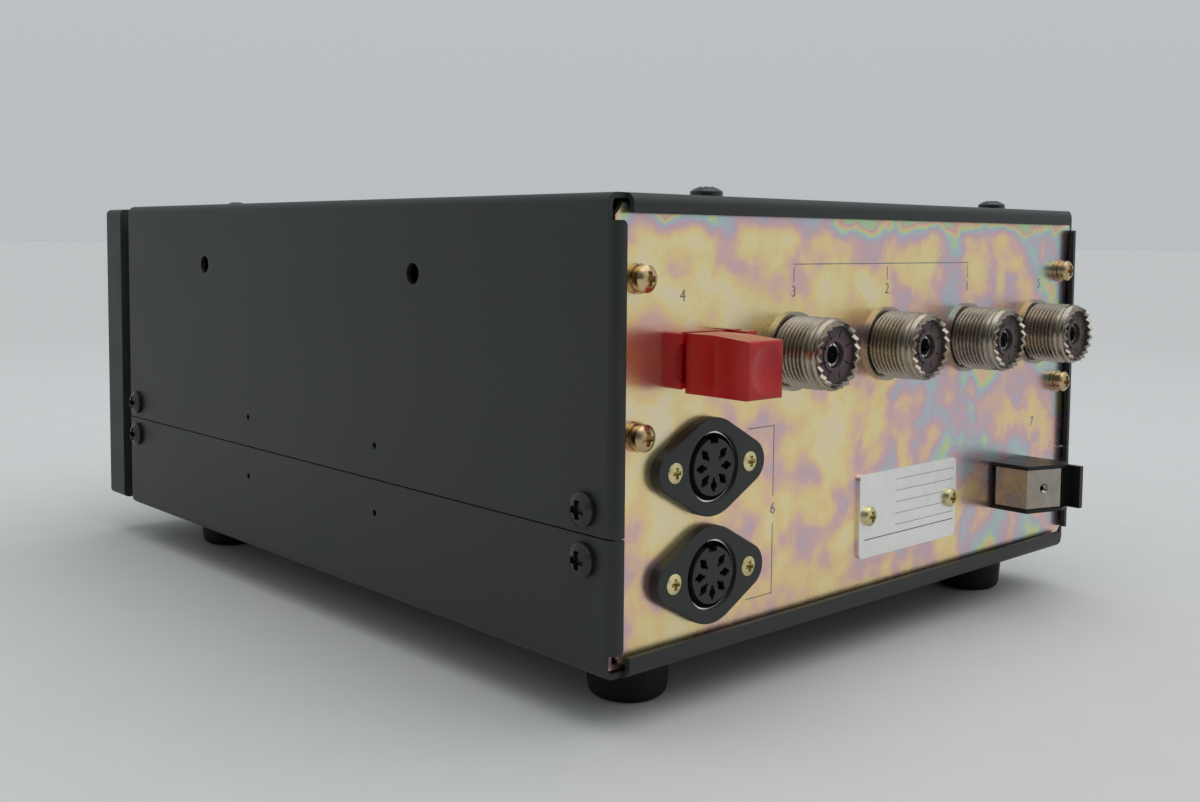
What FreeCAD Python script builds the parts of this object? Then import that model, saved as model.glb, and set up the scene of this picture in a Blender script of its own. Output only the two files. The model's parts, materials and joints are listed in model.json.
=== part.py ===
"""Automatic antenna tuner for an amateur radio station.

Frame: +Z up, the front faces -Y, the connector panel faces +Y. The origin is on the surface that the
feet stand on, at the middle of the overall length and width. All lengths are in millimetres.
"""
import FreeCAD, Part
import math
import os

Vector = FreeCAD.Vector
X_AXIS = Vector(1, 0, 0)
Y_AXIS = Vector(0, 1, 0)
Z_AXIS = Vector(0, 0, 1)

# ---- driving dimensions -------------------------------------------------------------------------
CASE_WIDTH = 180.0
CASE_HEIGHT = 95.5
COVER_DEPTH = 227.5
GROOVE_WIDTH = 6.5
BEZEL_DEPTH = 12.0
KNOB_STANDOUT = 16.0
LEVER_STANDOUT = 22.2
FOOT_HEIGHT = 11.5
SHEET = 1.2
BEND_RADIUS = 2.3
PANEL_RECESS = 2.0
SEAM_HEIGHT = 28.3
COAX_PITCH = 35.0
COAX_THREAD_RADIUS = 7.94

# ---- planes worked out from them ----------------------------------------------------------------
HALF_WIDTH = CASE_WIDTH / 2
REAR_STANDOUT = LEVER_STANDOUT - PANEL_RECESS
OVERALL_LENGTH = KNOB_STANDOUT + BEZEL_DEPTH + GROOVE_WIDTH + COVER_DEPTH + REAR_STANDOUT
REAR_Y = OVERALL_LENGTH / 2 - REAR_STANDOUT
COVER_FRONT_Y = REAR_Y - COVER_DEPTH
BEZEL_REAR_Y = COVER_FRONT_Y - GROOVE_WIDTH
BEZEL_FRONT_Y = BEZEL_REAR_Y - BEZEL_DEPTH
KNOB_FRONT_Y = BEZEL_FRONT_Y - KNOB_STANDOUT
PANEL_Y = REAR_Y - PANEL_RECESS
PANEL_BACK_Y = PANEL_Y - SHEET
CASE_BOTTOM = FOOT_HEIGHT
CASE_TOP = CASE_BOTTOM + CASE_HEIGHT
SEAM_Z = CASE_BOTTOM + SEAM_HEIGHT

# ---- cover details ------------------------------------------------------------------------------
TOP_FLANGE = 4.0
BOTTOM_FLANGE = 4.3
SIDE_FLANGE = 3.0
SEAM_GAP = 0.3
RELIEF_WIDTH = 4.7
RELIEF_TOP = 5.4
RELIEF_BOTTOM = 5.3
FLANGE_ROUND = 1.2
SIDE_SCREW_REAR_INSET = 8.5
SIDE_SCREW_FRONT_INSET = 222.0
SIDE_SCREW_SPREAD = 5.05
BRACKET_HOLE_INSETS = (67.9, 173.7)
BRACKET_HOLE_HEIGHT = 78.2
BRACKET_HOLE_RADIUS = 2.45
LOCATING_HOLE_INSETS = (84.1, 148.0)
LOCATING_HOLE_SPREAD = 8.2
LOCATING_HOLE_RADIUS = 0.8
TOP_SCREW_X = 56.5
TOP_SCREW_INSETS = (8.0, 220.0)
COVER_SCREW_SHANK = 1.9
COVER_SCREW_HEAD = (3.5, 2.2)
COVER_SCREW_LENGTH = 5.0
HOLE_CLEARANCE = 0.1

# ---- chassis ------------------------------------------------------------------------------------
CHASSIS_GAP = 0.4
TRAY_FLOOR_Z = CASE_BOTTOM + SHEET + 0.3
TRAY_TOP_Z = TRAY_FLOOR_Z + SHEET
TRAY_WALL_Z = CASE_BOTTOM + 42.0
EAR_TOP_Z = CASE_BOTTOM + 86.0
EAR_LENGTH = 14.0
TAB_WIDTH = 7.8
SUBPANEL_Y = COVER_FRONT_Y + 0.5
SUBPANEL_BACK_Y = SUBPANEL_Y + SHEET
PANEL_SCREW_X = 82.5
PANEL_SCREW_HEIGHTS = (47.7, 78.8)
PANEL_SCREW_HEAD = (2.75, 2.0)
PANEL_SCREW_SHANK = 1.5
PANEL_SCREW_LENGTH = 6.5
WASHER_RADII = (3.0, 2.6)
WASHER_PITCH = 0.95
WASHER_THICKNESS = 0.85
PANEL_GAP = 0.2
PANEL_TOP_RADIUS = 2.0
PANEL_TOP_FLANGE = 14.0
PANEL_CORNER = 3.0

# ---- feet ---------------------------------------------------------------------------------------
FOOT_X = 67.6
FOOT_REAR_INSET = 19.0
FOOT_FRONT_INSET = 203.7
FOOT_TOP_RADIUS = 9.4
FOOT_BOTTOM_RADIUS = 8.5
FOOT_ROUND = 2.2
FOOT_POCKET_RADIUS = 4.2
FOOT_POCKET_DEPTH = 6.5
FOOT_SCREW_HEAD = (3.5, 2.4)
FOOT_SCREW_LENGTH = 9.0

# ---- rear panel fittings (heights above the case bottom) ----------------------------------------
COAX_FIRST_X = 34.3
COAX_HEIGHT = 62.1
COAX_COUNT = 4
COAX_STANDOUT = 13.1
COAX_BODY_RADIUS = 9.2
COAX_BODY_END = -8.0
COAX_NECK_RADIUS = 7.6
COAX_THREAD_START = 1.2
COAX_RIM_RADIUS = 7.25
COAX_RIM_LENGTH = 1.6
COAX_TEETH = 20
COAX_TOOTH_DEPTH = 0.9
COAX_NUT_RADIUS = 8.8
COAX_NUT_THICKNESS = 0.9
COAX_INSULATOR_RADIUS = 6.3
COAX_INSULATOR_RECESS = 1.7
COAX_HUB_RADIUS = 3.9
COAX_HUB_RISE = 0.3
COAX_HUB_BORE = 2.9
COAX_SLITS = 8
COAX_SLIT_WIDTH = 0.3
COAX_CONTACT_OUTER = 2.55
COAX_CONTACT_BORE = 2.0
COAX_CONTACT_RECESS = 0.9
COAX_CONTACT_TAIL = 14.0
COAX_CONTACT_SLOT = 0.4
DIN_X = 62.05
DIN_HEIGHTS = {"upper": 39.7, "lower": 17.1}
DIN_SCREW_HALF = 11.3
DIN_SCREW_HEAD = 2.15
DIN_SCREW_SHANK = 1.2
DIN_SCREW_LENGTH = 7.0
DIN_FLANGE_RADIUS = 10.3
DIN_EAR_RADIUS = 4.8
DIN_FLANGE = 2.4
DIN_FLANGE_ROUND = 0.4
DIN_RECESS_RADIUS = 7.5
DIN_BODY_RADIUS = 8.4
DIN_BODY_DEPTH = 11.0
DIN_SHIELD_RADII = (7.05, 7.4)
DIN_SHIELD_FRONT = 1.6
DIN_CARRIER_RADIUS = 6.0
DIN_COLLAR_RADIUS = 6.95
DIN_COLLAR_DEPTH = 5.0
DIN_SLOTS = 7
DIN_SLOT_REACH = (2.2, 5.2)
DIN_SLOT_WIDTH = 0.75
DIN_CONTACT_CIRCLE = 3.8
DIN_CONTACT_RADIUS = 0.95
DIN_KEYWAY_WIDTH = 2.4
DIN_KEYWAY_FLOOR = 4.9
PLATE_X = -11.2
PLATE_HEIGHT = 21.4
PLATE_SIZE = (41.0, 20.2)
PLATE_CORNER = 1.6
PLATE_THICKNESS = 0.8
PLATE_SCREW_HALF = 17.2
PLATE_SCREW_HEAD = (2.3, 1.6)
PLATE_SCREW_SHANK = 1.1
PLATE_SCREW_LENGTH = 4.5

# ---- wire terminal (red push lever) -------------------------------------------------------------
WIRE_X = 69.25
WIRE_HEIGHT = 62.1
WIRE_BASE_X = (56.4, 75.2)
WIRE_BASE_BELOW = 5.25
WIRE_BASE_ABOVE = 6.1
WIRE_BASE_THICKNESS = 4.7
WIRE_POCKET_FLOOR = 3.9
WIRE_POCKET_GAP = 0.2
WIRE_BASE_CORNER = 0.9
WIRE_RAIL_WIDTH = 3.2
WIRE_RAIL_STANDOUT = 8.5
WIRE_NOTCH_WIDTH = 2.3
WIRE_NOTCH_DEPTH = 3.0
WIRE_MOUTH_HALF = 3.8
WIRE_LIP = 1.0
WIRE_LIP_END = 5.2
WIRE_RIBS = 15
WIRE_RIB_PITCH = 0.45
WIRE_RIB_HEIGHT = 0.15
WIRE_RIB_LENGTH = 1.2
WIRE_LEVER_HALF = (4.75, 5.95)
WIRE_LEVER_START = 5.3
WIRE_LEVER_RIDGE = 12.8
WIRE_LEVER_DROP = 0.3
WIRE_LEVER_ROUND = 0.45
WIRE_FRONT_HALF = 5.6
WIRE_FLARE = 0.85
WIRE_LEVER_WALL = 1.0
WIRE_DISH_RADIUS = 11.5
WIRE_DISH_DEPTH = 1.0
WIRE_CAVITY_END = 15.5
WIRE_POST_END = 12.0
WIRE_POST_GAP = 0.4
WIRE_SPRING_SEAT = 7.0
WIRE_SPRING_RADIUS = 2.0
WIRE_SPRING_WIRE = 0.5
WIRE_SPRING_PITCH = 1.3
STUD_RADIUS = 2.0
STUD_LENGTH = 6.0

# ---- ground terminal (nickel clip in a black housing) -------------------------------------------
GROUND_HEIGHT = 21.9
GROUND_CLIP_HALF = 5.1
GROUND_CHEEK = 0.9
GROUND_CHEEK_GAP = 0.2
GROUND_CHEEK_LIP = 0.4
GROUND_NEAR_X = -50.5
GROUND_CORNER_Y = 10.3
GROUND_TIP = (-61.2, 14.0)
GROUND_CLIP_SHEET = 0.8
GROUND_CLIP_FOOT = 1.2
GROUND_DIMPLE_RADIUS = 1.5
GROUND_DIMPLE_OFFSET = 0.6
GROUND_WALL_X = (-66.2, -63.2)
GROUND_TAB_X = (-67.8, -66.2)
GROUND_TAB_Y = (9.0, 16.8)
GROUND_TAB_DROP = 0.6
GROUND_FOOT_X = (-72.0, -66.2)
GROUND_FOOT_INSET = 2.0
GROUND_FLOOR = 0.8
GROUND_FLOOR_GAP = 2.2
GROUND_PIN = (-53.4, 3.4)
GROUND_PIN_RADIUS = 1.0
GROUND_BARREL_WALL = 1.2
GROUND_REACH = 13.4

# ---- tuning capacitors --------------------------------------------------------------------------
CAPACITOR_X = {"a": 42.0, "b": -42.0}
CAPACITOR_AXIS_Z = CASE_BOTTOM + 26.0
CAPACITOR_PLATE_Y = COVER_FRONT_Y + 17.0
CAPACITOR_PLATE = 2.0
CAPACITOR_LENGTH = 44.0
CAPACITOR_HALF = 21.0
CAPACITOR_TOP_Z = CASE_BOTTOM + 42.0
ROTOR_VANES = 12
VANE_PITCH = 3.0
VANE_SHEET = 0.6
ROTOR_RADIUS = 15.0
SHAFT_RADIUS = 3.0
RUNNING_GAP = 0.06
TIE_ROD = (17.5, 13.5, 1.8)
STATOR_ROD = (16.2, 14.5, 1.2)
GEAR_MODULE = 1.0
GEAR_TEETH = 42
PINION_TEETH = 14
GEAR_FACE = 5.0
GEAR_BACKLASH = 0.2
PRESSURE_ANGLE = math.radians(20)
MOTOR_RADIUS = 10.0
MOTOR_LENGTH = 30.0
MOTOR_SHAFT = 1.5

# ---- coil and board -----------------------------------------------------------------------------
COIL_Y = 6.0
COIL_Z = CASE_BOTTOM + 40.0
COIL_RADIUS = 20.0
COIL_PITCH = 6.0
COIL_TURNS = 10
COIL_WIRE = 1.0
FORMER_RADIUS = 18.8
FORMER_WALL = 2.0
FORMER_END = 3.0
FORMER_MARGIN = 4.0
FORMER_FOOT_HALF = 16.0
BOARD_BOTTOM_Z = TRAY_TOP_Z + 8.0
BOARD_THICKNESS = 1.6
BOARD_HALF = 83.0
BOARD_Y = (-36.0, 98.0)
STANDOFF_RADIUS = 3.0
STANDOFF_STUD = 1.5
RELAY_SIZE = (12.0, 20.0, 14.0)
RELAY_COUNT = 6
RELAY_START = (-10.0, 60.0)
RELAY_GAP = 3.0
CAN_X = (-70.0, -26.0)
CAN_Y = (50.0, 88.0)
CAN_HEIGHT = 24.0
CAN_SHEET = 0.6

# ---- front --------------------------------------------------------------------------------------
BEZEL_INSET = 0.8
BEZEL_CORNER = 1.6
BEZEL_NECK_INSET = 4.0
BEZEL_FRAME = 7.0
BEZEL_CHAMFER = 1.0
FASCIA_RECESS = 4.0
FASCIA_THICKNESS = 2.0
FASCIA_LEDGE = 2.0
KNOB_X = 48.0
KNOB_HEIGHT = 46.0
KNOB_RADIUS = 14.0
KNOB_ROUND = 1.2
KNOB_FLUTES = 24
FLUTE_RADIUS = 1.2
FLUTE_CIRCLE = 14.6
POINTER_WIDTH = 1.2
POINTER_DEPTH = 0.8
SHAFT_START = 3.0
BUTTON_XS = {"power_button": -60.0, "mode_button": -38.0, "tune_button": -16.0}
BUTTON_HEIGHT = 27.0
BUTTON_HALF = (6.0, 4.0)
BUTTON_GAP = 0.35
BUTTON_ROUND = 0.6
BUTTON_STEM_RADIUS = 1.5
BUTTON_STANDOUT = 2.5
SWITCH_DEPTH = 7.5
SWITCH_RADIUS = 13.0
SWITCH_BUSHING_RADIUS = 4.5
SWITCH_BUSHING_LENGTH = 7.0
BUTTON_SWITCH_HALF = (6.0, 5.0)
LENS_X = (-66.0, -10.0)
LENS_HEIGHT = (58.0, 66.0)
LENS_PROUD = 0.4
LENS_GAP = 0.05
PANEL_FIT = 0.1


# ---- building blocks ----------------------------------------------------------------------------
def box(x0, x1, y0, y1, z0, z1):
    """Axis-aligned box between two corners."""
    return Part.makeBox(x1 - x0, y1 - y0, z1 - z0, Vector(x0, y0, z0))


def rod(radius, x, y, z, length, axis=Y_AXIS):
    """Cylinder that starts at (x, y, z) and runs along the axis."""
    return Part.makeCylinder(radius, length, Vector(x, y, z), axis)


def joined(shapes):
    """Fuse a list of shapes into one clean solid."""
    result = shapes[0].fuse(shapes[1:]) if len(shapes) > 1 else shapes[0]
    return result.removeSplitter()


def prism(points, height, direction):
    """Extrude a closed outline of (x, y, z) points along a direction."""
    wire = Part.makePolygon([Vector(*p) for p in points] + [Vector(*points[0])])
    return Part.Face(wire).extrude(direction * height)


def runs_along(edge, axis):
    """True for a straight edge parallel to the axis."""
    if not isinstance(edge.Curve, Part.Line):
        return False
    return abs(abs(edge.tangentAt(edge.FirstParameter).dot(axis)) - 1) < 1e-6


def round_edges(shape, radius, axis):
    """Fillet every straight edge of a shape that is parallel to the axis."""
    return shape.makeFillet(radius, [e for e in shape.Edges if runs_along(e, axis)])


def rounded_box(x0, x1, y0, y1, z0, z1, radius, axis=Y_AXIS):
    """Box with the four edges along one axis rounded."""
    return round_edges(box(x0, x1, y0, y1, z0, z1), radius, axis)


def revolved(profile, axis_point, axis):
    """Solid of revolution about +Z from a closed outline of (radius, height) points, then placed."""
    wire = Part.makePolygon([Vector(r, 0, h) for r, h in profile + profile[:1]])
    solid = Part.Face(wire).revolve(Vector(0, 0, 0), Z_AXIS, 360)
    return placed(solid, axis_point, axis)


def placed(shape, position, axis):
    """Turn a shape built along +Z so that it points along the axis, and move it to a position."""
    moved = shape.copy()
    rotation = FreeCAD.Rotation(Z_AXIS, axis)
    moved.Placement = FreeCAD.Placement(Vector(*position), rotation).multiply(moved.Placement)
    return moved


def mirrored(x):
    """Both signs of a distance from the middle plane."""
    return (-x, x)


# ---- screws -------------------------------------------------------------------------------------
def cross_recess(head_radius, floor, top):
    """Phillips recess: two crossed blades sunk into a screw head from its top to a floor."""
    reach = 0.55 * head_radius
    blade = 0.2 * head_radius
    along_x = box(-reach, reach, -blade, blade, floor, top)
    along_y = box(-blade, blade, -reach, reach, floor, top)
    return along_x.fuse(along_y)


def domed(corners, crown_height):
    """Solid of revolution about +Z: straight (radius, height) corners, then a dome up to the crown."""
    points = [Vector(r, 0, h) for r, h in corners]
    rim_radius, rim_height = corners[-1]
    rise = crown_height - rim_height
    middle = Vector(0.62 * rim_radius, 0, rim_height + 0.72 * rise)
    crown = Vector(0, 0, crown_height)
    edges = Part.makePolygon(points).Edges
    edges.append(Part.Arc(points[-1], middle, crown).toShape())
    edges.append(Part.makeLine(crown, points[0]))
    return Part.Face(Part.Wire(edges)).revolve(Vector(0, 0, 0), Z_AXIS, 360)


def pan_screw(head, shank_radius, shank_length, position, axis):
    """Pan-head screw: domed head from the seat outwards, shank inwards. The head is (radius, height)."""
    radius, height = head
    corners = [(0, -shank_length), (shank_radius, -shank_length), (shank_radius, 0), (radius, 0)]
    corners.append((radius, 0.5 * height))
    recess = cross_recess(radius, 0.35 * height, 2 * height)
    return placed(domed(corners, height).cut(recess), position, axis)


def oval_screw(head_radius, shank_radius, shank_length, position, axis):
    """Countersunk screw with a low dome above its seat."""
    cone = head_radius - shank_radius
    corners = [(0, -shank_length), (shank_radius, -shank_length), (shank_radius, -cone), (head_radius, 0)]
    recess = cross_recess(head_radius, -0.7 * cone, cone)
    return placed(domed(corners, 0.5 * cone).cut(recess), position, axis)


def countersink(head_radius, shank_radius, depth, position, axis):
    """Seat that a countersunk screw leaves in its plate, with clearance round head and shank."""
    cone = head_radius - shank_radius
    hole = shank_radius + HOLE_CLEARANCE
    wide = head_radius + HOLE_CLEARANCE
    profile = [(0, -depth), (hole, -depth), (hole, -cone), (wide, 0), (wide, 1), (0, 1)]
    return revolved(profile, position, axis)


# ---- places that several parts share ------------------------------------------------------------
def side_screw_places():
    """(y, z) of the four cover screws on each side: a pair above and below the seam at each end."""
    places = []
    for inset in (SIDE_SCREW_REAR_INSET, SIDE_SCREW_FRONT_INSET):
        for step in mirrored(SIDE_SCREW_SPREAD):
            places.append((REAR_Y - inset, SEAM_Z + step))
    return places


def top_screw_places():
    """(x, y) of the screws through the top of the upper cover."""
    return [(x, REAR_Y - inset) for x in mirrored(TOP_SCREW_X) for inset in TOP_SCREW_INSETS]


def panel_screw_places():
    """(x, z) of the screws that hold the rear panel to the chassis."""
    return [(x, CASE_BOTTOM + h) for x in mirrored(PANEL_SCREW_X) for h in PANEL_SCREW_HEIGHTS]


def foot_places():
    """(x, y) of the four feet."""
    places = {}
    for side, x in (("left", -FOOT_X), ("right", FOOT_X)):
        places["foot_front_" + side] = (x, REAR_Y - FOOT_FRONT_INSET)
        places["foot_rear_" + side] = (x, REAR_Y - FOOT_REAR_INSET)
    return places


def coax_places():
    """(x, z) of the coaxial sockets, from the +X side."""
    return [(COAX_FIRST_X - i * COAX_PITCH, CASE_BOTTOM + COAX_HEIGHT) for i in range(COAX_COUNT)]


def din_places():
    """(x, z) of the accessory sockets by name."""
    return {name: (DIN_X, CASE_BOTTOM + height) for name, height in DIN_HEIGHTS.items()}


# ---- covers -------------------------------------------------------------------------------------
def cover_block(offset, front_y):
    """Outer or inner block of the folded case, rounded where the sheet is bent."""
    half = HALF_WIDTH - offset
    rear = REAR_Y - offset
    block = box(-half, half, front_y, rear, CASE_BOTTOM + offset, CASE_TOP - offset)
    bent = [e for e in block.Edges if runs_along(e, Y_AXIS) or abs(e.CenterOfMass.y - rear) < 1e-6]
    return block.makeFillet(BEND_RADIUS - offset, bent)


def corner_reliefs():
    """Notches where two folded rear flanges would meet."""
    notches = []
    rear0, rear1 = REAR_Y - BEND_RADIUS, REAR_Y + 1
    outside, inside = HALF_WIDTH + 1, HALF_WIDTH - RELIEF_WIDTH
    for x0, x1 in ((-outside, -inside), (inside, outside)):
        notches.append(box(x0, x1, rear0, rear1, CASE_TOP - RELIEF_TOP, CASE_TOP + 1))
        notches.append(box(x0, x1, rear0, rear1, CASE_BOTTOM - 1, CASE_BOTTOM + RELIEF_BOTTOM))
    return notches


def flange_rounding():
    """What is left over when the inner corners of the side flanges are rounded."""
    waste = []
    rear0, rear1 = REAR_Y - BEND_RADIUS, REAR_Y + 1
    inner_x = HALF_WIDTH - SIDE_FLANGE
    for side in (-1, 1):
        for z, inwards in ((CASE_TOP - RELIEF_TOP, -1), (CASE_BOTTOM + RELIEF_BOTTOM, 1)):
            x = side * inner_x
            x0, x1 = sorted((x, x + side * FLANGE_ROUND))
            z0, z1 = sorted((z, z + inwards * FLANGE_ROUND))
            centre_x, centre_z = x + side * FLANGE_ROUND, z + inwards * FLANGE_ROUND
            kept = rod(FLANGE_ROUND, centre_x, rear0 - 1, centre_z, rear1 - rear0 + 2)
            waste.append(box(x0, x1, rear0, rear1, z0, z1).cut(kept))
    return waste


def rear_window():
    """Opening that the rear flanges leave round the connector panel."""
    half = HALF_WIDTH - SIDE_FLANGE
    z0, z1 = CASE_BOTTOM + BOTTOM_FLANGE, CASE_TOP - TOP_FLANGE
    return box(-half, half, REAR_Y - BEND_RADIUS - 1, REAR_Y + 1, z0, z1)


def cover_holes():
    """Every hole through the sides and the top of the covers."""
    holes = []
    across = CASE_WIDTH + 2
    for y, z in side_screw_places():
        holes.append(rod(COVER_SCREW_SHANK + HOLE_CLEARANCE, -across / 2, y, z, across, X_AXIS))
    for inset in BRACKET_HOLE_INSETS:
        z = CASE_BOTTOM + BRACKET_HOLE_HEIGHT
        holes.append(rod(BRACKET_HOLE_RADIUS, -across / 2, REAR_Y - inset, z, across, X_AXIS))
    for inset in LOCATING_HOLE_INSETS:
        for step in mirrored(LOCATING_HOLE_SPREAD):
            z = SEAM_Z + step
            holes.append(rod(LOCATING_HOLE_RADIUS, -across / 2, REAR_Y - inset, z, across, X_AXIS))
    for x, y in top_screw_places():
        holes.append(rod(COVER_SCREW_SHANK + HOLE_CLEARANCE, x, y, CASE_TOP - 5, 6, Z_AXIS))
    for x, y in foot_places().values():
        holes.append(rod(COVER_SCREW_SHANK + HOLE_CLEARANCE, x, y, CASE_BOTTOM - 1, 4, Z_AXIS))
    return holes


def folded_case():
    """Both covers in one piece, before the seam parts them."""
    shell = cover_block(0, COVER_FRONT_Y).cut(cover_block(SHEET, COVER_FRONT_Y - 5))
    return shell.cut([rear_window()] + corner_reliefs() + flange_rounding() + cover_holes())


def upper_cover(case):
    """Top and upper sides."""
    outside = HALF_WIDTH + 1
    return case.common(
        box(-outside, outside, COVER_FRONT_Y - 1, REAR_Y + 1, SEAM_Z + SEAM_GAP / 2, CASE_TOP + 1))


def lower_cover(case):
    """Bottom and lower sides."""
    outside = HALF_WIDTH + 1
    return case.common(
        box(-outside, outside, COVER_FRONT_Y - 1, REAR_Y + 1, CASE_BOTTOM - 1, SEAM_Z - SEAM_GAP / 2))


def cover_side_screws():
    """Black pan-head screws, four on each side."""
    screws = []
    for y, z in side_screw_places():
        for side in (-1, 1):
            seat = (side * HALF_WIDTH, y, z)
            axis = X_AXIS * side
            screws.append(pan_screw(COVER_SCREW_HEAD, COVER_SCREW_SHANK, COVER_SCREW_LENGTH, seat, axis))
    return Part.makeCompound(screws)


def cover_top_screws():
    """Black pan-head screws through the top."""
    screws = []
    for x, y in top_screw_places():
        seat = (x, y, CASE_TOP)
        screws.append(pan_screw(COVER_SCREW_HEAD, COVER_SCREW_SHANK, COVER_SCREW_LENGTH, seat, Z_AXIS))
    return Part.makeCompound(screws)


# ---- chassis and panels -------------------------------------------------------------------------
def chassis():
    """Folded tray with ears at both ends that carry the front and rear panels."""
    outer = HALF_WIDTH - SHEET - CHASSIS_GAP
    y0, y1 = SUBPANEL_BACK_Y, PANEL_BACK_Y
    pieces = [box(-outer, outer, y0, y1, TRAY_FLOOR_Z, TRAY_TOP_Z)]
    for side in (-1, 1):
        wall = sorted((side * outer, side * (outer - SHEET)))
        tab = sorted((side * outer, side * (outer - TAB_WIDTH)))
        pieces.append(box(*wall, y0, y1, TRAY_FLOOR_Z, TRAY_WALL_Z))
        pieces.append(box(*wall, y1 - EAR_LENGTH, y1, TRAY_FLOOR_Z, EAR_TOP_Z))
        pieces.append(box(*wall, y0, y0 + EAR_LENGTH, TRAY_FLOOR_Z, EAR_TOP_Z))
        pieces.append(box(*tab, y1 - SHEET, y1, TRAY_WALL_Z - 3, EAR_TOP_Z))
        pieces.append(box(*tab, y0, y0 + SHEET, TRAY_WALL_Z - 3, EAR_TOP_Z))
    return joined(pieces).cut(chassis_holes())


def chassis_holes():
    """Screw holes of the covers, the panels, the feet and the standoffs."""
    radius = COVER_SCREW_SHANK + HOLE_CLEARANCE / 2
    holes = []
    for y, z in side_screw_places():
        holes.append(rod(radius, -HALF_WIDTH, y, z, CASE_WIDTH, X_AXIS))
    for x, z in panel_screw_places():
        holes.append(rod(PANEL_SCREW_SHANK + HOLE_CLEARANCE / 2, x, COVER_FRONT_Y, z, COVER_DEPTH))
    for x, y in foot_places().values():
        holes.append(rod(radius, x, y, TRAY_FLOOR_Z - 1, 4, Z_AXIS))
    return holes


def panel_profile():
    """Side view of the rear panel: upright, with a flange folded inwards at the top."""
    top = CASE_TOP - SHEET - PANEL_GAP
    foot = TRAY_TOP_Z
    outer = PANEL_TOP_RADIUS
    inner = outer - SHEET
    slant = math.sqrt(0.5)
    y_bend, z_bend = PANEL_Y - outer, top - outer

    def at(y, z):
        return Vector(0, y, z)

    def bend_middle(radius):
        return at(y_bend + radius * slant, z_bend + radius * slant)

    edges = [
        Part.makeLine(at(PANEL_Y, foot), at(PANEL_Y, z_bend)),
        Part.Arc(at(PANEL_Y, z_bend), bend_middle(outer), at(y_bend, top)).toShape(),
        Part.makeLine(at(y_bend, top), at(PANEL_Y - PANEL_TOP_FLANGE, top)),
        Part.makeLine(at(PANEL_Y - PANEL_TOP_FLANGE, top), at(PANEL_Y - PANEL_TOP_FLANGE, top - SHEET)),
        Part.makeLine(at(PANEL_Y - PANEL_TOP_FLANGE, top - SHEET), at(y_bend, top - SHEET)),
        Part.Arc(at(y_bend, top - SHEET), bend_middle(inner), at(PANEL_BACK_Y, z_bend)).toShape(),
        Part.makeLine(at(PANEL_BACK_Y, z_bend), at(PANEL_BACK_Y, foot)),
        Part.makeLine(at(PANEL_BACK_Y, foot), at(PANEL_Y, foot)),
    ]
    return Part.Face(Part.Wire(edges))


def panel_corners():
    """Triangles cut off the four corners of the rear panel."""
    half = HALF_WIDTH - SHEET - CHASSIS_GAP
    top = CASE_TOP - SHEET - PANEL_GAP
    y0, y1 = PANEL_Y - PANEL_TOP_FLANGE - 1, PANEL_Y + 1
    triangles = []
    for side in (-1, 1):
        for z, inwards in ((top, -1), (TRAY_TOP_Z, 1)):
            corner = (side * (half + 1), y0, z - inwards)
            along = (side * (half - PANEL_CORNER - 1), y0, z - inwards)
            down = (side * (half + 1), y0, z + inwards * (PANEL_CORNER + 1))
            triangles.append(prism([corner, along, down], y1 - y0, Y_AXIS))
    return triangles


def rear_panel():
    """Zinc-plated connector panel."""
    half = HALF_WIDTH - SHEET - CHASSIS_GAP
    plate = panel_profile()
    plate.translate(Vector(-half, 0, 0))
    plate = plate.extrude(X_AXIS * (2 * half))
    start = PANEL_Y - 5
    depth = 10
    holes = []
    for x, z in coax_places():
        holes.append(rod(COAX_NECK_RADIUS + HOLE_CLEARANCE, x, start, z, depth))
    for x, z in din_places().values():
        holes.append(rod(DIN_BODY_RADIUS + HOLE_CLEARANCE, x, start, z, depth))
        for step in mirrored(DIN_SCREW_HALF):
            holes.append(rod(DIN_SCREW_SHANK + 2 * HOLE_CLEARANCE, x + step, start, z, depth))
    plate_z = CASE_BOTTOM + PLATE_HEIGHT
    for step in mirrored(PLATE_SCREW_HALF):
        holes.append(rod(PLATE_SCREW_SHANK + HOLE_CLEARANCE, PLATE_X + step, start, plate_z, depth))
    for x, z in panel_screw_places():
        holes.append(rod(PANEL_SCREW_SHANK + HOLE_CLEARANCE, x, start, z, depth))
    for x, y in top_screw_places():
        holes.append(rod(COVER_SCREW_SHANK + HOLE_CLEARANCE / 2, x, y, CASE_TOP - 6, 6, Z_AXIS))
    for x, height in ((WIRE_X, WIRE_HEIGHT), (GROUND_TAB_X[1], GROUND_HEIGHT)):
        holes.append(rod(STUD_RADIUS + HOLE_CLEARANCE, x, start, CASE_BOTTOM + height, depth))
    return plate.cut(holes + panel_corners())


def panel_screws():
    """Plated screws with two washers under each head."""
    screws = []
    seat_y = PANEL_Y + len(WASHER_RADII) * WASHER_PITCH
    for x, z in panel_screw_places():
        seat = (x, seat_y, z)
        screws.append(pan_screw(PANEL_SCREW_HEAD, PANEL_SCREW_SHANK, PANEL_SCREW_LENGTH, seat, Y_AXIS))
        bore = rod(PANEL_SCREW_SHANK + HOLE_CLEARANCE / 2, x, PANEL_Y - 1, z, PANEL_SCREW_LENGTH)
        for index, radius in enumerate(WASHER_RADII):
            start = PANEL_Y + 0.05 + index * WASHER_PITCH
            screws.append(rod(radius, x, start, z, WASHER_THICKNESS).cut(bore))
    return Part.makeCompound(screws)


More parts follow.
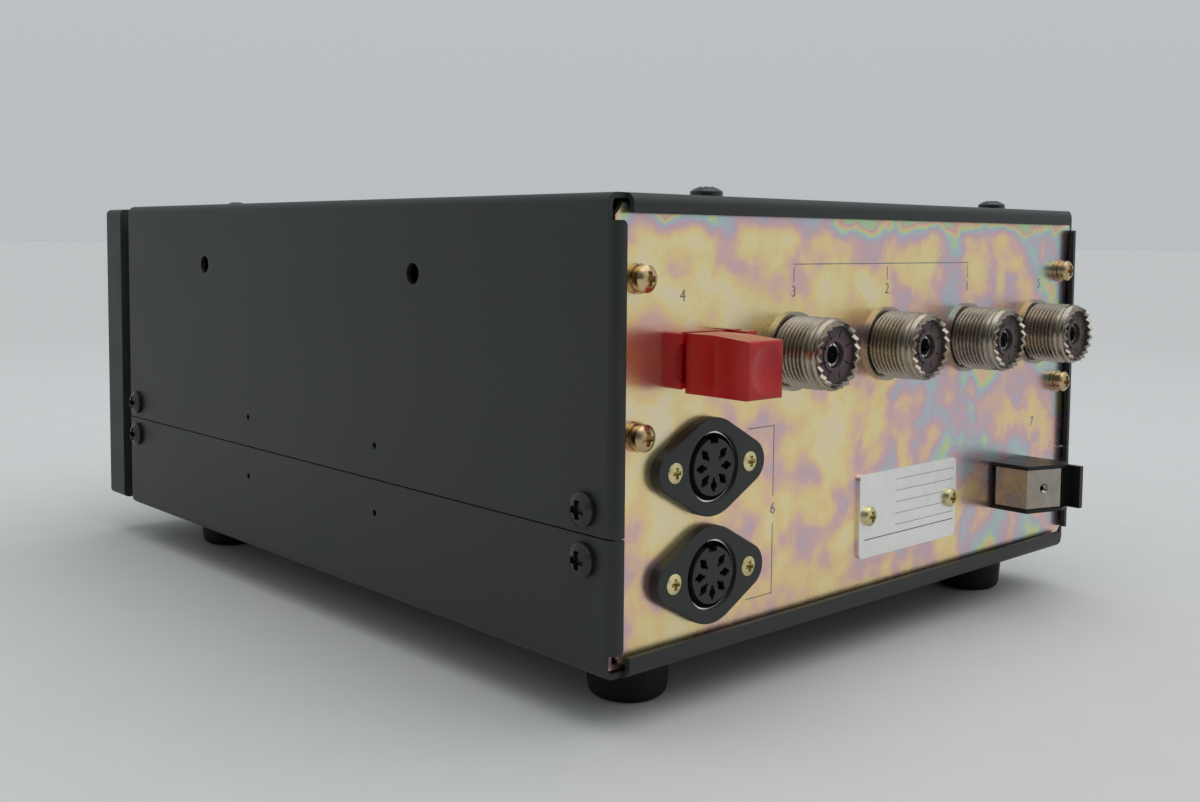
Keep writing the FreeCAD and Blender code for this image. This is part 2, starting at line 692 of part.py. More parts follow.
def front_subpanel():
    """Plate behind the bezel that carries the switches."""
    half = HALF_WIDTH - SHEET - CHASSIS_GAP
    plate = box(-half, half, SUBPANEL_Y, SUBPANEL_BACK_Y, TRAY_TOP_Z, CASE_TOP - SHEET - PANEL_GAP)
    bushing = SWITCH_BUSHING_RADIUS + HOLE_CLEARANCE
    holes = [rod(bushing, KNOB_X, SUBPANEL_Y - 1, CASE_BOTTOM + KNOB_HEIGHT, 4)]
    stem_hole = BUTTON_STEM_RADIUS + 3 * HOLE_CLEARANCE
    for x in BUTTON_XS.values():
        holes.append(rod(stem_hole, x, SUBPANEL_Y - 1, CASE_BOTTOM + BUTTON_HEIGHT, 4))
    return plate.cut(holes)


# ---- feet ---------------------------------------------------------------------------------------
def foot(x, y):
    """Tapered rubber foot with a pocket for its screw head."""
    hole = COVER_SCREW_SHANK + HOLE_CLEARANCE
    profile = [
        (hole, FOOT_POCKET_DEPTH),
        (FOOT_POCKET_RADIUS, FOOT_POCKET_DEPTH),
        (FOOT_POCKET_RADIUS, 0),
        (FOOT_BOTTOM_RADIUS, 0),
        (FOOT_TOP_RADIUS, FOOT_HEIGHT),
        (hole, FOOT_HEIGHT),
    ]
    body = revolved(profile, (x, y, 0), Z_AXIS)
    widest = 2 * FOOT_BOTTOM_RADIUS - 1e-3
    rim = [e for e in body.Edges if e.BoundBox.ZMax < 1e-6 and e.BoundBox.XLength > widest]
    return body.makeFillet(FOOT_ROUND, rim)


def foot_screws():
    """Screws up through the feet into the chassis tray."""
    screws = []
    for x, y in foot_places().values():
        seat = (x, y, FOOT_POCKET_DEPTH)
        screws.append(pan_screw(FOOT_SCREW_HEAD, COVER_SCREW_SHANK, FOOT_SCREW_LENGTH, seat, -Z_AXIS))
    return Part.makeCompound(screws)


# ---- coaxial sockets ----------------------------------------------------------------------------
def coax_shell(x, z):
    """Plated barrel: body behind the panel, neck through it, threaded stretch in front, toothed rim."""
    front = COAX_STANDOUT
    body_front = -SHEET - 0.1
    rim_start = front - COAX_RIM_LENGTH
    profile = [
        (COAX_INSULATOR_RADIUS, COAX_BODY_END),
        (COAX_BODY_RADIUS, COAX_BODY_END),
        (COAX_BODY_RADIUS, body_front),
        (COAX_NECK_RADIUS, body_front),
        (COAX_NECK_RADIUS, COAX_THREAD_START),
        (COAX_THREAD_RADIUS, COAX_THREAD_START),
        (COAX_THREAD_RADIUS, rim_start - 0.4),
        (COAX_RIM_RADIUS, rim_start),
        (COAX_RIM_RADIUS, front),
        (COAX_INSULATOR_RADIUS, front),
    ]
    body = revolved(profile, (0, 0, 0), Z_AXIS)
    return placed(body.cut(rim_notches(front)), (x, PANEL_Y, z), Y_AXIS)


def rim_notches(front):
    """V notches round the rim that leave pointed teeth."""
    outer = COAX_THREAD_RADIUS + 1
    half = 0.42 * 2 * math.pi * COAX_RIM_RADIUS / COAX_TEETH
    top = front + 0.01
    cutters = []
    for i in range(COAX_TEETH):
        notch = prism([(0, -half, top), (0, half, top), (0, 0, front - COAX_TOOTH_DEPTH)], outer, X_AXIS)
        notch.rotate(Vector(0, 0, 0), Z_AXIS, 360 * i / COAX_TEETH)
        cutters.append(notch)
    return cutters


def coax_insulators():
    """Moulded insulators with a raised hub round the centre contact and shallow radial slits."""
    start = PANEL_Y + COAX_BODY_END - 2
    face = PANEL_Y + COAX_STANDOUT - COAX_INSULATOR_RECESS
    hub_face = face + COAX_HUB_RISE
    half = COAX_SLIT_WIDTH / 2
    slit_z = (COAX_HUB_RADIUS - 0.4, COAX_INSULATOR_RADIUS - 0.6)
    discs = []
    for x, z in coax_places():
        disc = rod(COAX_INSULATOR_RADIUS - 0.02, x, start, z, face - start)
        hub = rod(COAX_HUB_RADIUS, x, start, z, hub_face - start)
        tools = [rod(COAX_HUB_BORE, x, face - 6, z, 10)]
        tools.append(rod(COAX_CONTACT_OUTER + 0.02, x, start - 1, z, 30))
        for turn in range(COAX_SLITS):
            slit = box(-half, half, face - 1.2, hub_face + 1, *slit_z)
            slit.rotate(Vector(0, 0, 0), Y_AXIS, 360 * (turn + 0.5) / COAX_SLITS)
            slit.translate(Vector(x, 0, z))
            tools.append(slit)
        discs.append(joined([disc, hub]).cut(tools))
    return Part.makeCompound(discs)


def coax_contacts():
    """Split centre contacts with a solder tail behind the panel."""
    tip = PANEL_Y + COAX_STANDOUT - COAX_INSULATOR_RECESS + COAX_HUB_RISE - COAX_CONTACT_RECESS
    tail = PANEL_Y - COAX_CONTACT_TAIL
    half = COAX_CONTACT_SLOT / 2
    reach = COAX_CONTACT_OUTER + 1
    contacts = []
    for x, z in coax_places():
        tube = rod(COAX_CONTACT_OUTER, x, tail, z, tip - tail)
        tools = [rod(COAX_CONTACT_BORE, x, PANEL_Y + 1, z, tip - PANEL_Y)]
        tools.append(box(x - reach, x + reach, tip - 6, tip + 1, z - half, z + half))
        tools.append(box(x - half, x + half, tip - 6, tip + 1, z - reach, z + reach))
        contacts.append(tube.cut(tools))
    return Part.makeCompound(contacts)


def coax_nuts():
    """Thin round nuts that clamp the sockets against the panel."""
    nuts = []
    for x, z in coax_places():
        bore = rod(COAX_NECK_RADIUS + 0.05, x, PANEL_Y - 1, z, 4)
        nuts.append(rod(COAX_NUT_RADIUS, x, PANEL_Y, z, COAX_NUT_THICKNESS).cut(bore))
    return Part.makeCompound(nuts)


# ---- accessory sockets --------------------------------------------------------------------------
def din_outline(thickness):
    """Rounded rhombus flange, built flat about the socket's axis."""
    reach, ear, middle = DIN_SCREW_HALF, DIN_EAR_RADIUS, DIN_FLANGE_RADIUS
    tangent = math.acos((middle - ear) / reach)
    corners = []
    for side, up in ((1, 1), (-1, 1), (-1, -1), (1, -1)):
        cos_t, sin_t = side * math.cos(tangent), up * math.sin(tangent)
        near = (middle * cos_t, 0, middle * sin_t)
        far = (side * reach + ear * cos_t, 0, ear * sin_t)
        corners += [far, near] if side * up > 0 else [near, far]
    flat = prism(corners, thickness, Y_AXIS)
    round_parts = [rod(middle, 0, 0, 0, thickness)]
    round_parts += [rod(ear, step, 0, 0, thickness) for step in mirrored(reach)]
    return joined([flat] + round_parts)


def din_body(x, z):
    """Moulded flange with a softened front edge and a barrel that passes through the panel."""
    flange = din_outline(DIN_FLANGE)
    front = [e for e in flange.Edges if e.BoundBox.YMin > DIN_FLANGE - 1e-6]
    flange = flange.makeFillet(DIN_FLANGE_ROUND, front)
    body = joined([flange, rod(DIN_BODY_RADIUS, 0, -DIN_BODY_DEPTH, 0, DIN_BODY_DEPTH + 1)])
    tools = [rod(DIN_RECESS_RADIUS, 0, -DIN_BODY_DEPTH - 1, 0, 30)]
    for step in mirrored(DIN_SCREW_HALF):
        tools.append(countersink(DIN_SCREW_HEAD, DIN_SCREW_SHANK, 6, (step, DIN_FLANGE, 0), Y_AXIS))
    body = body.cut(tools)
    body.translate(Vector(x, PANEL_Y, z))
    return body


def din_inserts():
    """Contact carriers with radial slots and a keyway at the top, held by a collar at the back."""
    front = DIN_FLANGE
    above = front + 1
    half_slot = DIN_SLOT_WIDTH / 2
    half_key = DIN_KEYWAY_WIDTH / 2
    slot_in, slot_out = DIN_SLOT_REACH
    inserts = []
    for x, z in din_places().values():
        carrier = rod(DIN_CARRIER_RADIUS, 0, -DIN_BODY_DEPTH, 0, DIN_BODY_DEPTH + front)
        collar = rod(DIN_COLLAR_RADIUS, 0, -DIN_BODY_DEPTH, 0, DIN_BODY_DEPTH - DIN_COLLAR_DEPTH)
        tools = [box(-half_key, half_key, -4, above, DIN_KEYWAY_FLOOR, DIN_CARRIER_RADIUS + 1)]
        for i in range(DIN_SLOTS):
            slot = box(-half_slot, half_slot, -8, above, slot_in, slot_out)
            slot = slot.fuse(rod(DIN_CONTACT_RADIUS, 0, -8, DIN_CONTACT_CIRCLE, 8 + above))
            slot.rotate(Vector(0, 0, 0), Y_AXIS, 360 * (i + 1) / (DIN_SLOTS + 1))
            tools.append(slot)
        carrier = joined([carrier, collar]).cut(tools)
        carrier.translate(Vector(x, PANEL_Y, z))
        inserts.append(carrier)
    return Part.makeCompound(inserts)


def din_shields():
    """Thin plated rings between carrier and body."""
    inner, outer = DIN_SHIELD_RADII
    start = PANEL_Y - DIN_BODY_DEPTH
    length = DIN_BODY_DEPTH + DIN_SHIELD_FRONT
    rings = []
    for x, z in din_places().values():
        rings.append(rod(outer, x, start, z, length).cut(rod(inner, x, start - 1, z, length + 2)))
    return Part.makeCompound(rings)


def din_screws():
    """Brass oval-head screws of the accessory sockets."""
    seat_y = PANEL_Y + DIN_FLANGE
    screws = []
    for x, z in din_places().values():
        for step in mirrored(DIN_SCREW_HALF):
            seat = (x + step, seat_y, z)
            screws.append(oval_screw(DIN_SCREW_HEAD, DIN_SCREW_SHANK, DIN_SCREW_LENGTH, seat, Y_AXIS))
    return Part.makeCompound(screws)


# ---- rating plate -------------------------------------------------------------------------------
def rating_plate():
    """Blank plate with rounded corners."""
    half_x, half_z = PLATE_SIZE[0] / 2, PLATE_SIZE[1] / 2
    z = CASE_BOTTOM + PLATE_HEIGHT
    sides = (PLATE_X - half_x, PLATE_X + half_x, PANEL_Y, PANEL_Y + PLATE_THICKNESS)
    plate = rounded_box(*sides, z - half_z, z + half_z, PLATE_CORNER)
    hole = PLATE_SCREW_SHANK + HOLE_CLEARANCE
    return plate.cut([rod(hole, PLATE_X + step, PANEL_Y - 1, z, 4) for step in mirrored(PLATE_SCREW_HALF)])


def rating_plate_screws():
    """Small brass pan-head screws."""
    screws = []
    for step in mirrored(PLATE_SCREW_HALF):
        seat = (PLATE_X + step, PANEL_Y + PLATE_THICKNESS, CASE_BOTTOM + PLATE_HEIGHT)
        screws.append(pan_screw(PLATE_SCREW_HEAD, PLATE_SCREW_SHANK, PLATE_SCREW_LENGTH, seat, Y_AXIS))
    return Part.makeCompound(screws)


# ---- wire terminal ------------------------------------------------------------------------------
def wire_terminal_base():
    """Base block with a stud through the panel, a side rail, a wire mouth and the post inside the lever."""
    z = CASE_BOTTOM + WIRE_HEIGHT
    x0, x1 = WIRE_BASE_X
    low, high = z - WIRE_BASE_BELOW, z + WIRE_BASE_ABOVE
    block = rounded_box(x0, x1, PANEL_Y, PANEL_Y + WIRE_BASE_THICKNESS, low, high, WIRE_BASE_CORNER)
    rail_x = x0 + WIRE_RAIL_WIDTH
    notch_x = (rail_x, rail_x + WIRE_NOTCH_WIDTH)
    notch = box(*notch_x, PANEL_Y - 1, PANEL_Y + 5, high - WIRE_NOTCH_DEPTH, high + 1)
    rail = box(x0, rail_x, PANEL_Y, PANEL_Y + WIRE_RAIL_STANDOUT, low + 0.5, high - 0.2)
    cavity_x, cavity_z = wire_cavity_half()
    post_x, post_z = cavity_x - WIRE_POST_GAP, cavity_z - WIRE_POST_GAP
    post = box(WIRE_X - post_x, WIRE_X + post_x, PANEL_Y, PANEL_Y + WIRE_POST_END, z - post_z, z + post_z)
    stud = rod(STUD_RADIUS, WIRE_X, PANEL_Y - STUD_LENGTH, z, STUD_LENGTH + 1)
    spring_radius = WIRE_SPRING_RADIUS + 0.4
    spring_hole = rod(spring_radius, WIRE_X, PANEL_Y + WIRE_SPRING_SEAT, z, WIRE_POST_END)
    pieces = [block.cut([notch, lever_pocket(z)]), rail, post, stud] + wire_mouth(z, low, high)
    return joined(pieces).cut(spring_hole)


def lever_pocket(z):
    """Shallow pocket that the lever's walls move into."""
    reach_x, reach_z = (half + WIRE_POCKET_GAP for half in WIRE_LEVER_HALF)
    pocket_y = (PANEL_Y + WIRE_POCKET_FLOOR, PANEL_Y + WIRE_BASE_THICKNESS + 1)
    return box(WIRE_X - reach_x, WIRE_X + reach_x, *pocket_y, z - reach_z, z + reach_z)


def wire_mouth(z, low, high):
    """Lips above and below the opening for the wire, and the ribs that grip it."""
    edge = WIRE_BASE_X[1]
    lip_y = (PANEL_Y + 1, PANEL_Y + WIRE_LIP_END)
    pieces = [box(edge - WIRE_LIP, edge, *lip_y, low + 0.3, z - WIRE_MOUTH_HALF)]
    pieces.append(box(edge - WIRE_LIP, edge, *lip_y, z + WIRE_MOUTH_HALF, high - 0.3))
    rib_end = PANEL_Y + WIRE_BASE_THICKNESS
    first = z - WIRE_RIB_PITCH * (WIRE_RIBS - 1) / 2
    for index in range(WIRE_RIBS):
        middle = first + index * WIRE_RIB_PITCH
        rib = (middle - WIRE_RIB_PITCH / 4, middle + WIRE_RIB_PITCH / 4)
        pieces.append(box(edge - 0.5, edge + WIRE_RIB_HEIGHT, rib_end - WIRE_RIB_LENGTH, rib_end, *rib))
    return pieces


def wire_cavity_half():
    """Half width and half height of the hollow inside the lever."""
    half_x, half_z = WIRE_LEVER_HALF
    return half_x - WIRE_LEVER_WALL, half_z - WIRE_LEVER_WALL


def wire_terminal_lever():
    """Hollow push lever: straight, then tapered and flared up to a front face with a thumb dish."""
    z = CASE_BOTTOM + WIRE_HEIGHT
    half_x, half_z = WIRE_LEVER_HALF
    start, ridge, front = (PANEL_Y + d for d in (WIRE_LEVER_START, WIRE_LEVER_RIDGE, LEVER_STANDOUT))
    x = WIRE_X - half_x
    dish_z = z - WIRE_LEVER_DROP
    outline = [
        (x, start, z - half_z),
        (x, ridge, z - half_z),
        (x, front, dish_z - WIRE_FRONT_HALF),
        (x, front, dish_z + WIRE_FRONT_HALF),
        (x, ridge, z + half_z),
        (x, start, z + half_z),
    ]
    plan = [
        (x, start, z - half_z),
        (x, front, z - half_z),
        (x + 2 * half_x + WIRE_FLARE, front, z - half_z),
        (x + 2 * half_x, ridge, z - half_z),
        (x + 2 * half_x, start, z - half_z),
    ]
    body = prism(outline, 2 * half_x + WIRE_FLARE, X_AXIS).common(prism(plan, 2 * half_z, Z_AXIS))
    body = body.makeFillet(WIRE_LEVER_ROUND, [e for e in body.Edges if abs(e.CenterOfMass.y - front) < 1e-3])
    hollow_x, hollow_z = wire_cavity_half()
    cavity_y = (start - 1, PANEL_Y + WIRE_CAVITY_END)
    cavity = box(WIRE_X - hollow_x, WIRE_X + hollow_x, *cavity_y, z - hollow_z, z + hollow_z)
    dish_y = front + WIRE_DISH_RADIUS - WIRE_DISH_DEPTH
    dish = Part.makeSphere(WIRE_DISH_RADIUS, Vector(WIRE_X, dish_y, dish_z))
    return body.cut([cavity, dish])


def wire_terminal_spring():
    """Coil spring between the bottom of the post's hole and the inside of the lever."""
    length = WIRE_CAVITY_END - WIRE_SPRING_SEAT - 2 * WIRE_SPRING_WIRE
    start = (WIRE_X, PANEL_Y + WIRE_SPRING_SEAT + WIRE_SPRING_WIRE, CASE_BOTTOM + WIRE_HEIGHT)
    return coil_along(WIRE_SPRING_RADIUS, WIRE_SPRING_PITCH, length, WIRE_SPRING_WIRE / 2, Y_AXIS, start)


def coil_along(radius, pitch, length, wire_radius, axis, start):
    """Round wire wound into a helix along an axis."""
    helix = Part.makeHelix(pitch, length, radius)
    section = Part.Wire(Part.makeCircle(wire_radius, Vector(radius, 0, 0), Y_AXIS))
    coil = Part.Wire(helix.Edges).makePipeShell([section], True, True)
    return placed(coil, start, axis)


# ---- ground terminal ----------------------------------------------------------------------------
def ground_cheek(z):
    """Thin plate above or below the clip, a lip wider than the clip's outline."""
    lip = GROUND_CHEEK_LIP
    corner_x, corner_y = GROUND_NEAR_X + lip, PANEL_Y + GROUND_CORNER_Y + lip
    end_x = GROUND_WALL_X[0]
    outline = [
        (corner_x, PANEL_Y, z),
        (corner_x, corner_y, z),
        (GROUND_TIP[0] - lip, PANEL_Y + GROUND_TIP[1] + lip, z),
        (end_x, PANEL_Y + GROUND_REACH, z),
        (end_x, PANEL_Y, z),
    ]
    return prism(outline, GROUND_CHEEK, Z_AXIS)


def ground_terminal_housing():
    """Moulded housing: two cheeks, an end wall with a finger tab, a hinge pin and a stud."""
    z = CASE_BOTTOM + GROUND_HEIGHT
    low, high = z - GROUND_CLIP_HALF - GROUND_CHEEK_GAP, z + GROUND_CLIP_HALF + GROUND_CHEEK_GAP
    x0, x1 = GROUND_WALL_X
    wall = box(x0, x1, PANEL_Y, PANEL_Y + GROUND_REACH, low - GROUND_CHEEK, high + GROUND_CHEEK)
    tab_start, tab_end = (PANEL_Y + d for d in GROUND_TAB_Y)
    tab = box(*GROUND_TAB_X, tab_start, tab_end, low - GROUND_TAB_DROP, high)
    inset = GROUND_FOOT_INSET
    bracket = box(*GROUND_FOOT_X, PANEL_Y, tab_start + 1, low + inset, high - inset)
    floor = box(x1, GROUND_NEAR_X - GROUND_FLOOR_GAP, PANEL_Y, PANEL_Y + GROUND_FLOOR, low, high)
    pin = rod(GROUND_PIN_RADIUS, GROUND_PIN[0], PANEL_Y + GROUND_PIN[1], low, high - low, Z_AXIS)
    stud = rod(STUD_RADIUS, GROUND_TAB_X[1], PANEL_Y - STUD_LENGTH, z, STUD_LENGTH + 1)
    cheeks = [ground_cheek(low - GROUND_CHEEK), ground_cheek(high)]
    return joined(cheeks + [wall, tab, bracket, floor, pin, stud])


def ground_terminal_clip():
    """Folded nickel clip that turns on the hinge pin, with a lanced dimple to press on."""
    z = CASE_BOTTOM + GROUND_HEIGHT
    low = z - GROUND_CLIP_HALF
    sheet = GROUND_CLIP_SHEET
    near, corner = GROUND_NEAR_X, GROUND_CORNER_Y
    tip_x, tip_y = GROUND_TIP
    run = math.hypot(tip_x - near, tip_y - corner)
    normal = Vector((tip_y - corner) / run, -(tip_x - near) / run, 0)
    inset_x = near - sheet
    inset_y = corner - sheet * (1 - normal.x) / normal.y
    outline = [
        (near, GROUND_CLIP_FOOT),
        (near, corner),
        (tip_x, tip_y),
        (tip_x - sheet * normal.x, tip_y - sheet * normal.y),
        (inset_x, inset_y),
        (inset_x, GROUND_CLIP_FOOT),
    ]
    strap = prism([(x, PANEL_Y + y, low) for x, y in outline], 2 * GROUND_CLIP_HALF, Z_AXIS)
    pin_x, pin_y = GROUND_PIN
    barrel_radius = GROUND_PIN_RADIUS + GROUND_BARREL_WALL
    barrel = rod(barrel_radius, pin_x, PANEL_Y + pin_y, low, 2 * GROUND_CLIP_HALF, Z_AXIS)
    middle = Vector((near + tip_x) / 2, PANEL_Y + (corner + tip_y) / 2, z)
    dimple = Part.makeSphere(GROUND_DIMPLE_RADIUS, middle + normal * GROUND_DIMPLE_OFFSET)
    bore = rod(GROUND_PIN_RADIUS + RUNNING_GAP, pin_x, PANEL_Y + pin_y, low - 1, 20, Z_AXIS)
    return joined([strap, barrel]).cut([dimple, bore])


# ---- gears --------------------------------------------------------------------------------------
def tooth_flank(base, angle_offset, radius):
    """Point of an involute flank at a radius, turned by an offset."""
    roll = math.sqrt(max(radius * radius / (base * base) - 1, 0))
    angle = angle_offset + roll - math.atan(roll)
    return radius * math.cos(angle), radius * math.sin(angle)


def spur_gear(teeth, turn, bore, thickness):
    """Involute spur gear about +Z with its first tooth at an angle of turn radians."""
    pitch = GEAR_MODULE * teeth / 2
    base = pitch * math.cos(PRESSURE_ANGLE)
    tip = pitch + 0.95 * GEAR_MODULE
    root = pitch - 1.2 * GEAR_MODULE
    low = max(base, root)
    involute = math.tan(PRESSURE_ANGLE) - PRESSURE_ANGLE
    half_tooth = math.pi / (2 * teeth) - GEAR_BACKLASH / (2 * pitch) + involute
    radii = [low + (tip - low) * step / 4 for step in range(5)]
    points = []
    for i in range(teeth):
        middle = turn + 2 * math.pi * i / teeth
        rise = [tooth_flank(base, -half_tooth, r) for r in radii]
        foot_angle = math.atan2(rise[0][1], rise[0][0])
        rise.insert(0, (root * math.cos(foot_angle), root * math.sin(foot_angle)))
        tooth = rise + [(x, -y) for x, y in reversed(rise)]
        cos_m, sin_m = math.cos(middle), math.sin(middle)
        points += [(x * cos_m - y * sin_m, x * sin_m + y * cos_m, 0) for x, y in tooth]
    gear = prism(points, thickness, Z_AXIS)
    return gear.cut(rod(bore, 0, 0, -1, thickness + 2, Z_AXIS)) if bore else gear


def gear_distance():
    """Distance between the capacitor shaft and the motor shaft."""
    return GEAR_MODULE * (GEAR_TEETH + PINION_TEETH) / 2 + 0.15


def along_minus_y(shape, x, y, z):
    """Turn a shape built along +Z so that it runs along -Y and stands at a place."""
    turned = shape.copy()
    turned.rotate(Vector(0, 0, 0), X_AXIS, 90)
    turned.translate(Vector(x, y, z))
    return turned


# ---- tuning capacitors --------------------------------------------------------------------------
def capacitor_frame(x):
    """Two end plates, a base strip and two tie rods."""
    y0 = CAPACITOR_PLATE_Y
    y1 = y0 + CAPACITOR_LENGTH
    axis_z = CAPACITOR_AXIS_Z
    half, sheet = CAPACITOR_HALF, CAPACITOR_PLATE
    motor_z = axis_z + gear_distance()
    front = box(x - half, x + half, y0, y0 + sheet, TRAY_TOP_Z, CAPACITOR_TOP_Z)
    motor_plate = box(x - 12, x + 12, y0, y0 + sheet, TRAY_TOP_Z, motor_z + 12)
    rear = box(x - half, x + half, y1 - sheet, y1, TRAY_TOP_Z, CAPACITOR_TOP_Z)
    strip = box(x - half, x + half, y0, y1, TRAY_TOP_Z, TRAY_TOP_Z + 1.5)
    offset_x, offset_z, radius = TIE_ROD
    ties = [rod(radius, x + step, y0, axis_z + offset_z, CAPACITOR_LENGTH) for step in mirrored(offset_x)]
    bearing = rod(SHAFT_RADIUS + RUNNING_GAP, x, y0 - 1, axis_z, CAPACITOR_LENGTH + 2)
    motor_hole = rod(4.1, x, y0 - 1, motor_z, 4)
    return joined([front, motor_plate, rear, strip] + ties).cut([bearing, motor_hole])


def vane_start(index):
    """Y of the near face of a rotor vane."""
    stack = (ROTOR_VANES - 1) * VANE_PITCH + VANE_SHEET
    middle = CAPACITOR_PLATE_Y + CAPACITOR_LENGTH / 2
    return middle - stack / 2 + index * VANE_PITCH


def capacitor_rotor(x):
    """Shaft with half-round vanes, fully meshed when the vanes hang down."""
    shaft_start = CAPACITOR_PLATE_Y - 7.1
    pieces = [rod(SHAFT_RADIUS, x, shaft_start, CAPACITOR_AXIS_Z, CAPACITOR_LENGTH + 10)]
    for index in range(ROTOR_VANES):
        start = vane_start(index)
        disc = rod(ROTOR_RADIUS, x, start, CAPACITOR_AXIS_Z, VANE_SHEET)
        lower = box(x - 20, x + 20, start, start + VANE_SHEET, 0, CAPACITOR_AXIS_Z - 0.3)
        pieces.append(disc.common(lower))
    return joined(pieces)


def capacitor_stator(x):
    """Fixed plates between the rotor vanes, held on two rods."""
    rod_x, rod_z, rod_radius = STATOR_ROD
    inner = CAPACITOR_LENGTH - 2 * CAPACITOR_PLATE
    y0 = CAPACITOR_PLATE_Y + CAPACITOR_PLATE
    low = CAPACITOR_AXIS_Z - rod_z
    pieces = [rod(rod_radius, x + step, y0, low, inner) for step in mirrored(rod_x)]
    clear = rod(SHAFT_RADIUS + 1.5, x, y0, CAPACITOR_AXIS_Z, inner)
    for index in range(ROTOR_VANES + 1):
        start = vane_start(index) - VANE_PITCH / 2
        plate = box(x - 18, x + 18, start, start + VANE_SHEET, low - 2, CAPACITOR_AXIS_Z - 0.5)
        pieces.append(plate.cut(clear))
    return joined(pieces)


def capacitor_gear(x):
    """Large gear on the front end of the rotor shaft."""
    gear = spur_gear(GEAR_TEETH, math.pi / 2, SHAFT_RADIUS + 0.02, GEAR_FACE)
    return along_minus_y(gear, x, CAPACITOR_PLATE_Y - 1.5, CAPACITOR_AXIS_Z)


def motor_pinion(x):
    """Small gear with the motor's output shaft."""
    half_step = math.pi / PINION_TEETH
    gear = spur_gear(PINION_TEETH, -math.pi / 2 + half_step, 0, GEAR_FACE)
    z = CAPACITOR_AXIS_Z + gear_distance()
    pinion = along_minus_y(gear, x, CAPACITOR_PLATE_Y - 1.5, z)
    shaft = rod(MOTOR_SHAFT, x, CAPACITOR_PLATE_Y - 7.5, z, 16)
    return joined([pinion, shaft])


def tuning_motor(x):
    """Geared motor with a boss that fills the hole in the capacitor's front plate."""
    z = CAPACITOR_AXIS_Z + gear_distance()
    y0 = CAPACITOR_PLATE_Y + CAPACITOR_PLATE
    can = rod(MOTOR_RADIUS, x, y0, z, MOTOR_LENGTH)
    boss = rod(4.0, x, y0 - CAPACITOR_PLATE, z, CAPACITOR_PLATE + 1)
    rear_cap = rod(6.0, x, y0 + MOTOR_LENGTH, z, 2.5)
    bore = rod(MOTOR_SHAFT + RUNNING_GAP, x, y0 - 5, z, 12)
    return joined([can, boss, rear_cap]).cut(bore)


# ---- coil and board -----------------------------------------------------------------------------
def tuning_coil():
    """Silver-plated wire wound on the former."""
    length = COIL_PITCH * COIL_TURNS
    return coil_along(COIL_RADIUS, COIL_PITCH, length, COIL_WIRE, X_AXIS, (-length / 2, COIL_Y, COIL_Z))


def coil_former():
    """Tube with two end plates that stand on the board."""
    reach = COIL_PITCH * COIL_TURNS / 2 + FORMER_MARGIN
    tube = rod(FORMER_RADIUS, -reach, COIL_Y, COIL_Z, 2 * reach, X_AXIS)
    bore_reach = reach + FORMER_END + 1
    bore = rod(FORMER_RADIUS - FORMER_WALL, -bore_reach, COIL_Y, COIL_Z, 2 * bore_reach, X_AXIS)
    foot_y = (COIL_Y - FORMER_FOOT_HALF, COIL_Y + FORMER_FOOT_HALF)
    foot_z = BOARD_BOTTOM_Z + BOARD_THICKNESS
    ends = []
    for x in (-reach - FORMER_END, reach):
        ends.append(box(x, x + FORMER_END, *foot_y, foot_z, COIL_Z))
        ends.append(rod(FORMER_RADIUS + FORMER_WALL, x, COIL_Y, COIL_Z, FORMER_END, X_AXIS))
    return joined([tube] + ends).cut(bore)


def standoff_places():
    """(x, y) of the board's standoffs."""
    return [(x, y) for x in mirrored(BOARD_HALF - 4) for y in (BOARD_Y[0] + 5, BOARD_Y[1] - 22)]


def main_board():
    """Printed circuit board under the coil, relays and detector."""
    board = box(-BOARD_HALF, BOARD_HALF, *BOARD_Y, BOARD_BOTTOM_Z, BOARD_BOTTOM_Z + BOARD_THICKNESS)
    hole = STANDOFF_STUD + HOLE_CLEARANCE
    return board.cut([rod(hole, x, y, BOARD_BOTTOM_Z - 1, 4, Z_AXIS) for x, y in standoff_places()])


def board_standoffs():
    """Hexagon standoffs between tray and board, each with a stud through the board."""
    posts = []
    for x, y in standoff_places():
        corners = []
        for i in range(6):
            angle = math.radians(60 * i)
            reach_x, reach_y = STANDOFF_RADIUS * math.cos(angle), STANDOFF_RADIUS * math.sin(angle)
            corners.append((x + reach_x, y + reach_y, TRAY_TOP_Z))
        post = prism(corners, BOARD_BOTTOM_Z - TRAY_TOP_Z, Z_AXIS)
        posts.append(joined([post, rod(STANDOFF_STUD, x, y, BOARD_BOTTOM_Z - 1, 4, Z_AXIS)]))
    return Part.makeCompound(posts)


def relays():
    """Row of sealed relays that switch the antennas and coil taps."""
    size_x, size_y, size_z = RELAY_SIZE
    start_x, y = RELAY_START
    z = BOARD_BOTTOM_Z + BOARD_THICKNESS
    cases = []
    for index in range(RELAY_COUNT):
        x = start_x + index * (size_x + RELAY_GAP)
        cases.append(rounded_box(x, x + size_x, y, y + size_y, z, z + size_z, 0.8, Z_AXIS))
    return Part.makeCompound(cases)


def detector_can():
    """Folded tin can over the standing-wave detector."""
    z = BOARD_BOTTOM_Z + BOARD_THICKNESS
    top = z + CAN_HEIGHT
    outer = rounded_box(*CAN_X, *CAN_Y, z, top, 1.0, Z_AXIS)
    inner_x = (CAN_X[0] + CAN_SHEET, CAN_X[1] - CAN_SHEET)
    inner_y = (CAN_Y[0] + CAN_SHEET, CAN_Y[1] - CAN_SHEET)
    return outer.cut(box(*inner_x, *inner_y, z - 1, top - CAN_SHEET))


# ---- front --------------------------------------------------------------------------------------
def bezel_block(inset, y0, y1):
    """Block of the bezel's outline, smaller than the case by an inset above and below."""
    return rounded_box(-HALF_WIDTH, HALF_WIDTH, y0, y1, CASE_BOTTOM + inset, CASE_TOP - inset, BEZEL_CORNER)


